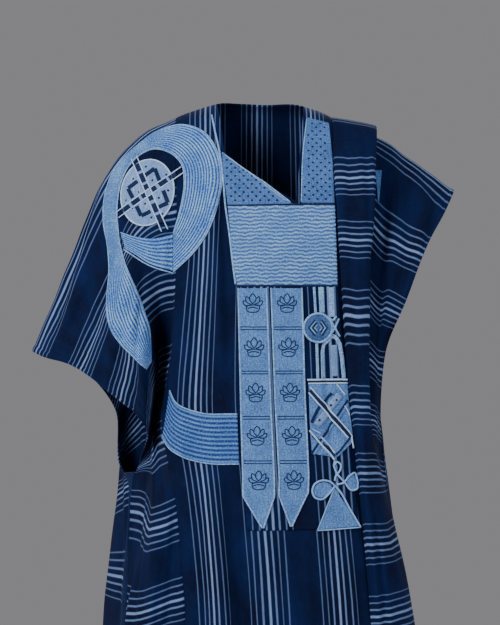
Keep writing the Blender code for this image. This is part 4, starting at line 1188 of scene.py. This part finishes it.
sew_ribbon("swirl_ring_ribs", "swirl_ring", ribbon(ring_outside, ring_inside, 190, 99),
           13, 0.52, 0.0017)
sew_ribbon("swirl_tail_ribs", "swirl_tail", ribbon(tail_outside, tail_inside, 110, 81),
           13, 0.30, 0.0016, LOW + TAIL_OVER)
band_grid = ribbon([(-0.1722, -0.268), (-0.206, -0.277), (-0.250, -0.272), (-0.277, -0.262)],
                   [(-0.1710, -0.342), (-0.219, -0.327), (-0.247, -0.309), (-0.266, -0.297)], 50, 57)
sew_ribbon("swirl_lower_band_ribs", "swirl_band", band_grid, 8, 0.10, 0.0013)
make_cords("swirl_edging", [
    cord(ring_outside + tail_outside[1:], 0.0016, 0.0016), cord(ring_inside, 0.0016, 0.0016),
    cord(tail_inside, 0.0014, 0.0016),
    cord([(-0.170, -0.346), (-0.219, -0.330), (-0.249, -0.312), (-0.268, -0.299)], 0.0014, 0.0016),
], BLUE_THREAD, "ribbed_embroidery")

# %% A small gusset in the notch of the left sleeve
gusset_grid = between([(0.231, -0.136), (0.236, -0.202)], [(0.246, -0.136), (0.238, -0.202)], 24, 8)
sew("notch_gusset", gusset_grid, YOKE_COTTON, "light_blue_cloth", None, (0.016, 0.068))

# %% [markdown]
# ## The egg-shaped figure inside the swirl
# A pale oval holds two crossed bars, a square broken at the middle of each side, pairs of short pale
# lines and a scatter of dots. The oval is a sheet. Bars and square are dark strips, the bars with
# pale edges, and the dots are raised stitches.

# %% The egg
EGG = (-0.224, -0.185)
egg_grid = disc(EGG, 0.053, 0.067, -8.0, 40)
sew("egg_cloth", egg_grid, PALE_COTTON, "pale_embroidery", "egg_patch", (0.107, 0.135),
    0.0010 * edge_ease(egg_grid.shape[:2], 5))
EGG_LIFT = LOW + SEWN + 0.0012
FIGURE_LIFT = EGG_LIFT - 0.0004
DOT_SIZE = 0.0029
BAR_HALF = 0.0062         # from the middle of a bar to its pale edge
DASHES = ((0.08, 0.20), (0.23, 0.35), (0.38, 0.455), (0.53, 0.60), (0.64, 0.76), (0.79, 0.90))
BAR_ENDS = (((-0.252, -0.112), (-0.188, -0.262)), ((-0.284, -0.229), (-0.153, -0.139)))
SQUARE = ((-0.209, -0.137), (-0.182, -0.207), (-0.234, -0.233), (-0.262, -0.176))
pale_lines, dark_lines = [], []


def part_of(start, end, low, high):
    """The stretch of a straight line between two shares of its length."""
    start, end = np.array(start), np.array(end)
    return [start + (end - start) * low, start + (end - start) * high]


for start, end in BAR_ENDS:
    run = unit(np.array(end) - np.array(start))
    side = np.array([-run[1], run[0]]) * BAR_HALF
    for sign in (-1, 1):
        pale_lines.append(cord([np.array(start) + side * sign, np.array(end) + side * sign],
                               0.0011, EGG_LIFT + 0.0004))
    for low, high in DASHES:
        dark_lines.append(strip(part_of(start, end, low, high), 0.0048, FIGURE_LIFT))
for corner, following in zip(SQUARE, SQUARE[1:] + SQUARE[:1]):
    for low, high in ((0.0, 0.36), (0.64, 1.0)):
        dark_lines.append(strip(part_of(corner, following, low, high), 0.0042, FIGURE_LIFT))
    middle = np.array(EGG) + (np.array(corner) - EGG) * 0.55
    for reach in (-0.006, 0.006):
        pale_lines.append(cord([middle + (reach, -0.006), middle + (reach, 0.006)],
                               0.0008, EGG_LIFT + 0.0002))
for x, z in ((-0.227, -0.133), (-0.186, -0.150), (-0.252, -0.157), (-0.213, -0.161), (-0.240, -0.184),
             (-0.200, -0.197), (-0.227, -0.208), (-0.252, -0.216), (-0.214, -0.236), (-0.193, -0.229),
             (-0.182, -0.182), (-0.266, -0.200)):
    dark_lines.append(knot((x, z), DOT_SIZE, FIGURE_LIFT))
rim_line = np.concatenate([egg_grid[0], egg_grid[1:, -1], egg_grid[-1, ::-1][1:],
                           egg_grid[::-1, 0][1:-1]])[::4]
make_cords("egg_pale_lines", pale_lines + [cord(rim_line, 0.0016, 0.0022, closed=True)],
           PALE_THREAD, "pale_embroidery")
make_cords("egg_dark_figures", dark_lines, NAVY_THREAD, "indigo_strip_cloth")

# %% [markdown]
# ## The yoke, the shoulder band and the ruched chest block
# Light blue cotton frames the neck. Rows of dark knots fill it, and the block below is ruched: the
# cloth is drawn up on rows of stitches, which leaves long uneven ridges across the chest.

# %% Yoke and shoulder band
yoke_grid = between([(-0.0765, -0.104), (-0.073, -0.140), (-0.064, -0.212)],
                    [(-0.0730, -0.104), (0.060, -0.2075), (0.070, -0.211)], 60, 60)
sew("yoke_cloth", yoke_grid, YOKE_COTTON, "light_blue_cloth", "neck_yoke", (0.150, 0.120))
shoulder_grid = between([(0.095, -0.030), (0.086, -0.100), (0.081, -0.208)],
                        [(0.139, -0.042), (0.145, -0.120), (0.148, -0.208)], 60, 24)
sew("shoulder_band_cloth", shoulder_grid, YOKE_COTTON, "light_blue_cloth", "shoulder_band",
    (0.070, 0.190))


KNOT_STEP = 0.0165        # between the knots of a row; every second row is shifted by half of it
KNOT_ROW = 0.0082         # between rows


def side_at(edge, z):
    """How far to the side an edge that runs down is, at the height z."""
    return np.interp(-z, [-p[1] for p in edge], [p[0] for p in edge])


def knot_rows(start, rows, columns, left, right, lowest):
    """Staggered rows of knots between two edges, with a small margin."""
    found = []
    for row in range(rows):
        for column in range(columns):
            place = (start[0] + KNOT_STEP * column + KNOT_STEP / 2 * (row % 2), start[1] - KNOT_ROW * row)
            within = side_at(left, place[1]) + 0.004 < place[0] < side_at(right, place[1]) - 0.005
            if within and place[1] > lowest:
                found.append(knot(place, 0.0027, LOW + SEWN - 0.0002))
    return found


knots = knot_rows((-0.082, -0.104), 16, 18, [(-0.078, -0.094), (-0.066, -0.205)],
                  [(-0.076, -0.094), (0.052, -0.202)], -0.203)
knots += knot_rows((0.088, -0.044), 20, 5, [(0.095, -0.034), (0.081, -0.206)],
                   [(0.138, -0.040), (0.148, -0.206)], -1.0)
print("knots on the yoke and the band:", len(knots))
make_cords("yoke_knots", knots, NAVY_THREAD, "indigo_strip_cloth")

# %% Ruched chest block
chest_grid = between([(-0.064, -0.214), (-0.053, -0.322), (-0.045, -0.370)],
                     [(0.148, -0.211), (0.150, -0.290), (0.152, -0.369)], 190, 96)
rise, thread = ribs(chest_grid.shape[:2], 21, 0.20, 0.0015, True,
                    lambda c, r: 0.13 * np.sin(19 * c + 6 * r) + 0.11 * np.sin(43 * c - 23 * r + 1.0)
                    + 0.09 * np.sin(88 * c + 31 * r))
sew("chest_ruching", chest_grid, CHEST_RIBS, "ribbed_embroidery", "chest_block",
    (0.215, 0.170), rise, thread=thread)

# %% Piping of the neckline and the lines beside it
NECK_SIDE = [(-0.097, -0.026), (-0.088, -0.070), (-0.081, -0.101), (-0.073, -0.160), (-0.068, -0.212),
             (-0.060, -0.270), (-0.054, -0.323), (-0.048, -0.368)]
make_cords("neckline_piping", [cord(NECK_SIDE, 0.0019, 0.0022, 0.0015)],
           BLUE_THREAD, "pale_embroidery", ("neck_piping",))
make_cords("yoke_edging", [
    cord([(-0.071, -0.1035), (0.060, -0.2065)], 0.0014, 0.0022),
    cord([(-0.070, -0.1085), (0.052, -0.2045)], 0.0009, 0.0020),
    cord([(0.094, -0.034), (0.086, -0.100), (0.081, -0.206)], 0.0012, 0.0020),
], BLUE_THREAD, "light_blue_cloth")
make_cords("yoke_and_chest_stitching", [
    cord([(-0.066, -0.2125), (0.073, -0.2100), (0.148, -0.2095)], 0.0012, 0.0020),
    cord([(-0.046, -0.3715), (0.153, -0.3705)], 0.0012, 0.0020),
], NAVY_THREAD, "indigo_strip_cloth")

# %% [markdown]
# ## The pocket panel, the two tabs and their figures
# A panel of the striped cloth lies over the front, with two long light blue tabs on it, cut to a
# point. Pairs of navy lines divide each tab into fields, and each field holds a small crown of five
# petals, drawn here as a few cords, as the machine draws it with one running line.

# %% Pocket panel
POCKET_LEFT = [(-0.046, -0.372), (-0.034, -0.672), (-0.027, -0.847)]
POCKET_RIGHT = [(0.153, -0.370), (0.167, -0.553), (0.179, -0.701), (0.196, -0.846)]
pocket_grid = between(POCKET_LEFT, POCKET_RIGHT, 130, 60)
lean = np.interp(-pocket_grid[..., 1], (0.369, 0.701, 0.847), (-0.024, -0.010, 0.0))
group_place = stripe_places(pocket_grid[..., 0] - lean, ((-0.014, 0.064), (0.116, 0.195)))
pocket_stripes = np.stack([group_place, pocket_grid[..., 1]], axis=-1)
sew("pocket_cloth", pocket_grid, STRIPED, "indigo_strip_cloth", "pocket_panel", (0.225, 0.480),
    stripes=pocket_stripes)

# %% Tabs
TABS = {
    "right": ([(-0.043, -0.375), (-0.037, -0.625), (-0.033, -0.749), (-0.033, -0.780), (0.004, -0.841)],
              [(0.012, -0.375), (0.020, -0.593), (0.027, -0.749), (0.027, -0.780), (0.006, -0.841)]),
    "left": ([(0.021, -0.375), (0.029, -0.593), (0.037, -0.749), (0.036, -0.778), (0.059, -0.839)],
             [(0.081, -0.375), (0.087, -0.593), (0.094, -0.739), (0.093, -0.773), (0.061, -0.839)]),
}
FIELDS = (-0.4064, -0.4924, -0.5803, -0.6643, -0.7502)
LINES = (-0.4513, -0.5373, -0.6252, -0.7112)
CROWN = (
    ((0.000, 0.000), (-0.0065, 0.010), (0.000, 0.020), (0.0065, 0.010), (0.000, 0.000)),
    ((-0.003, -0.001), (-0.0125, 0.004), (-0.0125, 0.0145), (-0.0050, 0.0095)),
    ((0.003, -0.001), (0.0125, 0.004), (0.0125, 0.0145), (0.0050, 0.0095)),
    ((-0.006, -0.003), (-0.0165, -0.002), (-0.0185, 0.0060), (-0.0125, 0.0050)),
    ((0.006, -0.003), (0.0165, -0.002), (0.0185, 0.0060), (0.0125, 0.0050)),
    ((-0.013, -0.0050), (0.000, -0.0020), (0.013, -0.0050), (0.0110, -0.0135), (0.000, -0.0165),
     (-0.0110, -0.0135), (-0.013, -0.0050)),
    ((-0.0105, -0.0090), (0.000, -0.0065), (0.0105, -0.0090)),
)
TAB_LIFT = HIGH + SEWN + 0.0002
DRAWN = 0.0007            # half the height of a drawn navy line
LINE_PAIR = 0.0052        # between the two navy lines of a pair
edges, drawing = [], []
for side, (left, right) in TABS.items():
    grid = between(left, right, 150, 22)
    sew(f"{side}_tab_cloth", grid, TAB_COTTON, "light_blue_cloth", f"tab_{side}", (0.062, 0.480),
        0.0004 * edge_ease(grid.shape[:2]), base=HIGH)
    for edge in (left, right):
        edges.append(cord(edge, 0.0017, TAB_LIFT, straight=True))
    for z in LINES:
        low, high = side_at(left, z), side_at(right, z)
        for drop_by in (0.0, LINE_PAIR):
            drawing.append(cord([(low + 0.003, z - drop_by), (high - 0.003, z - drop_by)],
                                0.0011, TAB_LIFT, DRAWN))
    for z in FIELDS:
        middle = (side_at(left, z) + side_at(right, z)) / 2
        for line in CROWN:
            drawing.append(cord([(middle + x, z + up) for x, up in line],
                                0.0012, TAB_LIFT, DRAWN, spacing=0.002))
make_cords("tab_edging", edges, BLUE_THREAD, "light_blue_cloth")
make_cords("tab_crowns", drawing, NAVY_THREAD, "indigo_strip_cloth")

# %% [markdown]
# ## The column of figures beside the tabs
# From the top: a medallion with nested chevrons and a forked band, a small pale bar, a lattice of
# crossing bands, and a looped cord whose end becomes the side of a triangle.

# %% Medallion and bars
MEDALLION = (0.113, -0.453)
MEDALLION_RIM = 0.0280
COLUMN_LIFT = 0.0042
sew("medallion_cloth", disc(MEDALLION, 0.0285, 0.0285, 0.0, 26), DEEP_COTTON, "light_blue_cloth",
    "knot_medallion", (0.058, 0.058), base=HIGH)
bar_grid = between([(0.136, -0.486), (0.139, -0.549)], [(0.150, -0.486), (0.152, -0.549)], 20, 8)
sew("pale_bar_cloth", bar_grid, PALE_COTTON, "pale_embroidery", "column_bar",
    (0.016, 0.066), base=HIGH)
rim = [(MEDALLION[0] + MEDALLION_RIM * math.cos(turn), MEDALLION[1] + MEDALLION_RIM * math.sin(turn))
       for turn in np.linspace(0, 2 * np.pi, 18)[:-1]]
make_cords("medallion_bands", [
    cord(rim, 0.0022, COLUMN_LIFT, closed=True),
    cord([(0.1335, -0.431), (0.1410, -0.4395), (0.1490, -0.431)], 0.0022, COLUMN_LIFT, straight=True),
    cord([(0.1370, -0.4360), (0.1460, -0.4530), (0.1560, -0.4700)], 0.0020, COLUMN_LIFT),
    cord([(0.1540, -0.4350), (0.1460, -0.4530), (0.1380, -0.4660)], 0.0020, COLUMN_LIFT),
    strip([(0.122, -0.553), (0.121, -0.500), (0.124, -0.486), (0.141, -0.468), (0.150, -0.474),
           (0.156, -0.486), (0.160, -0.510), (0.164, -0.553)], 0.0042, 0.0022),
    strip([(0.105, -0.373), (0.108, -0.425)], 0.0026, 0.0020),
    strip([(0.119, -0.373), (0.121, -0.424)], 0.0058, 0.0020),
    strip([(0.139, -0.373), (0.141, -0.432)], 0.0058, 0.0020),
    strip([(0.110, -0.482), (0.112, -0.553)], 0.0028, 0.0020),
], BLUE_THREAD, "light_blue_cloth")
chevrons = {-1: [], 1: []}
for number, reach in enumerate((0.019, 0.0150, 0.0110, 0.0070)):
    arm = 0.0155 - 0.0030 * number
    shade = -1 if number % 2 else 1
    for side in (-1, 1):
        tip = MEDALLION[0] + side * reach
        back = tip - side * arm * 0.8
        line = [(back, MEDALLION[1] + arm), (tip, MEDALLION[1]), (back, MEDALLION[1] - arm)]
        chevrons[shade].append(cord(line, 0.0012, COLUMN_LIFT, straight=True, spacing=0.002))
make_cords("medallion_chevrons", chevrons[1], NAVY_THREAD, "indigo_strip_cloth")
make_cords("medallion_pale_chevrons", chevrons[-1], BLUE_THREAD, "light_blue_cloth")

# %% Lattice
lattice_grid = between([(0.093, -0.556), (0.096, -0.655), (0.100, -0.699), (0.146, -0.706)],
                       [(0.171, -0.556), (0.175, -0.594), (0.185, -0.674), (0.150, -0.706)], 60, 34)
sew("lattice_cloth", lattice_grid, TAB_COTTON, "light_blue_cloth", "lattice_patch",
    (0.092, 0.152), base=HIGH)
# The bands lie in layers; each starts just below the top of the layer under it.
LATTICE_TOP = HIGH + SEWN
LATTICE_LIFT = LATTICE_TOP + 0.0008
LOWEST_BAND = (LATTICE_TOP + 0.0002, 0.0009)
make_cords("lattice_dark_bands", [
    strip([(0.092, -0.558), (0.172, -0.558)], 0.0022, *LOWEST_BAND),
    strip([(0.099, -0.638), (0.116, -0.606), (0.141, -0.581)], 0.0030, *LOWEST_BAND, False),
    strip([(0.1005, -0.7000), (0.1730, -0.5960)], 0.0046, *LOWEST_BAND),
    strip([(0.1480, -0.7020), (0.1740, -0.6700)], 0.0018, *LOWEST_BAND),
    strip([(0.1010, -0.6630), (0.1330, -0.6900), (0.1465, -0.7045)], 0.0030, *LOWEST_BAND),
], NAVY_THREAD, "indigo_strip_cloth")
make_cords("lattice_pale_band", [
    strip([(0.1085, -0.6440), (0.1550, -0.5840)], 0.0078, LATTICE_TOP + 0.0010, 0.0007),
], PALE_COTTON, "pale_embroidery")
make_cords("lattice_crossing_band", [
    strip([(0.0955, -0.5750), (0.1755, -0.6680)], 0.0040, LATTICE_TOP + 0.0016, 0.0006),
], NAVY_THREAD, "indigo_strip_cloth")
make_cords("lattice_blue_band", [
    strip([(0.1030, -0.7000), (0.1745, -0.5980)], 0.0022, LATTICE_TOP + 0.0009, 0.0007),
], TAB_COTTON, "light_blue_cloth")
make_cords("lattice_knots", [knot(p, 0.0026, LATTICE_LIFT + 0.0010) for p in
           ((0.1155, -0.6330), (0.1385, -0.6045), (0.149, -0.5945))], NAVY_THREAD, "indigo_strip_cloth")
make_cords("lattice_pale_lines", [
    cord([(0.0910, -0.5545), (0.1716, -0.5545)], 0.0018, LATTICE_LIFT + 0.0004),
    cord([(0.0930, -0.5615), (0.1716, -0.5615)], 0.0014, LATTICE_LIFT + 0.0004),
    cord([(0.0965, -0.5680), (0.1797, -0.6640), (0.1860, -0.6900)], 0.0016, LATTICE_LIFT + 0.0012,
         straight=True),
    cord([(0.0940, -0.5790), (0.1716, -0.6690)], 0.0016, LATTICE_LIFT + 0.0012, straight=True),
    cord([(0.0954, -0.6527), (0.1100, -0.6705), (0.1457, -0.7110)], 0.0018, LATTICE_LIFT + 0.0008),
    cord([(0.1181, -0.6657), (0.1473, -0.6981)], 0.0014, LATTICE_LIFT + 0.0008),
    cord([(0.1490, -0.5640), (0.1665, -0.5850)], 0.0014, LATTICE_LIFT + 0.0006),
    cord([(0.1650, -0.6060), (0.1765, -0.6240)], 0.0012, LATTICE_LIFT + 0.0006),
    cord([(0.1010, -0.6500), (0.1175, -0.6590)], 0.0010, LATTICE_LIFT + 0.0006),
], PALE_THREAD, "pale_embroidery")

# %% Loops and triangle
for side, place, half_width, half_height, tilt, flat, area in (
        ("right", (0.121, -0.769), 0.0185, 0.0150, 14.0, (0.040, 0.032), 0.0009),
        ("left", (0.180, -0.755), 0.0110, 0.0165, 24.0, (0.026, 0.035), 0.0006)):
    sew(f"loop_cloth_{side}", disc(place, half_width, half_height, tilt, 18), TAB_COTTON,
        "light_blue_cloth", f"leaf_{side}", flat, base=HIGH)
triangle_grid = between([(0.144, -0.766), (0.111, -0.846)], [(0.146, -0.766), (0.194, -0.842)], 36, 30)
sew("triangle_cloth", triangle_grid, TAB_COTTON, "light_blue_cloth", "triangle_patch",
    (0.085, 0.080), base=HIGH)
LOOP_LIFT = HIGH + SEWN + 0.0006
make_cords("looped_cord", [
    cord([(0.1465, -0.7120), (0.1440, -0.7230), (0.1500, -0.7150), (0.1570, -0.7200), (0.1560, -0.7310),
          (0.1480, -0.7420), (0.1450, -0.7520)], 0.0019, LOOP_LIFT),
    cord([(0.1440, -0.7230), (0.1490, -0.7360), (0.1640, -0.7540), (0.1790, -0.7710), (0.1905, -0.7680),
          (0.1920, -0.7480), (0.1845, -0.7370), (0.1740, -0.7430), (0.1620, -0.7560), (0.1500, -0.7590)],
         0.0019, LOOP_LIFT + 0.0004),
    cord([(0.1470, -0.7640), (0.1370, -0.7540), (0.1200, -0.7505), (0.1050, -0.7580), (0.1010, -0.7700),
          (0.1060, -0.7830), (0.1190, -0.7870), (0.1330, -0.7770), (0.1440, -0.7630)],
         0.0019, LOOP_LIFT + 0.0002),
    cord([(0.1380, -0.7550), (0.1520, -0.7680), (0.1740, -0.8060), (0.1960, -0.8430)],
         0.0019, LOOP_LIFT + 0.0006),
    cord([(0.1440, -0.7660), (0.1110, -0.8470)], 0.0011, LOOP_LIFT),
    cord([(0.1110, -0.8470), (0.1960, -0.8435)], 0.0013, LOOP_LIFT),
], CORD_THREAD, "pale_embroidery")

# %% [markdown]
# ## The waist band
# A short ribbed band runs from the tabs round to the right side, rising a little where it goes
# under the arm.

# %% Waist band
WAIST_TOP = [(-0.178, -0.576), (-0.165, -0.600), (-0.150, -0.609), (-0.118, -0.619), (-0.044, -0.621)]
WAIST_FOOT = [(-0.192, -0.668), (-0.178, -0.690), (-0.150, -0.706), (-0.095, -0.718), (-0.040, -0.718)]
waist_grid = ribbon(WAIST_TOP, WAIST_FOOT, 60, 89).transpose(1, 0, 2)
rise, thread = ribs(waist_grid.shape[:2], 11, 0.15, by_rows=True)
# the waist band's finish carries painted shade, darker than the other ribs
sew("waist_ribs", waist_grid, RIBBED_IN_PAINTED_SHADE, "ribbed_embroidery", "waist_band",
    (0.110, 0.155), rise, thread=thread)
make_cords("waist_edging", [cord(WAIST_TOP, 0.0014, 0.0018), cord(WAIST_FOOT, 0.0014, 0.0018)],
           BLUE_THREAD, "ribbed_embroidery")

# %% [markdown]
# ## Side seams
# Below the arms the front and the back are joined at the edges of the side panels. The seam is a
# narrow rolled edge that runs down to the hem.

# %% Side seams
SEAM_TOP = 0.66           # the count down at which the side seam begins
SEAM_OVERLAP = 0.002      # how far it reaches past each edge
SEAM_HALF_HEIGHT = 0.0016


def side_seam(outer, edge):
    """A rolled seam midway between the front and the back edge of a side panel."""
    down = np.linspace(SEAM_TOP, LENGTH, 120)
    edges = [np.stack([np.interp(sign * down, ALL_ROWS, outer[:, edge, k]) for k in range(3)], axis=1)
             for sign in (1, -1)]
    middle = (edges[0] + edges[1]) / 2
    gap = np.linalg.norm(edges[0] - edges[1], axis=1)
    runs = unit(np.gradient(middle, axis=0))
    between_edges = unit(edges[1] - edges[0])
    out = unit(np.cross(runs, between_edges))
    angles = 2 * np.pi * np.arange(TUBE_SIDES) / TUBE_SIDES
    reach = np.cos(angles)[None, :, None] * (gap / 2 + SEAM_OVERLAP)[:, None, None]
    around = (middle[:, None] + between_edges[:, None] * reach
              + out[:, None] * (SEAM_HALF_HEIGHT * np.sin(angles))[None, :, None])
    uv = np.stack([np.ones((len(down), 1)) * np.linspace(0, 0.01, TUBE_SIDES)[None],
                   down[:, None] * np.ones((1, TUBE_SIDES))], axis=-1)
    print("side seam gap, mm:", round(float(gap.min()) * 1000, 1), "to", round(float(gap.max()) * 1000, 1))
    return around.reshape(-1, 3), tube_faces(len(down)), uv.reshape(-1, 2)


make_cords("side_seams", [side_seam(right_outer, 0), side_seam(left_outer, -1)],
           NAVY_THREAD, "indigo_strip_cloth")

# %% [markdown]
# ## What the cloth was cut to
# A tailor reads the cut off a finished robe with a tape laid along the cloth, down into each fold
# and out again. Here only the area of one face is worked out, as half the area of the whole wall.
# It is the area of the cloth as it is modelled, folds included.


for panel, outer in ((right_panel, right_outer), (left_panel, left_outer),
                     (front_panel, front_outer), (back_panel, back_outer)):
    area = round(sum(p.area for p in panel.data.polygons) / 2, 3)
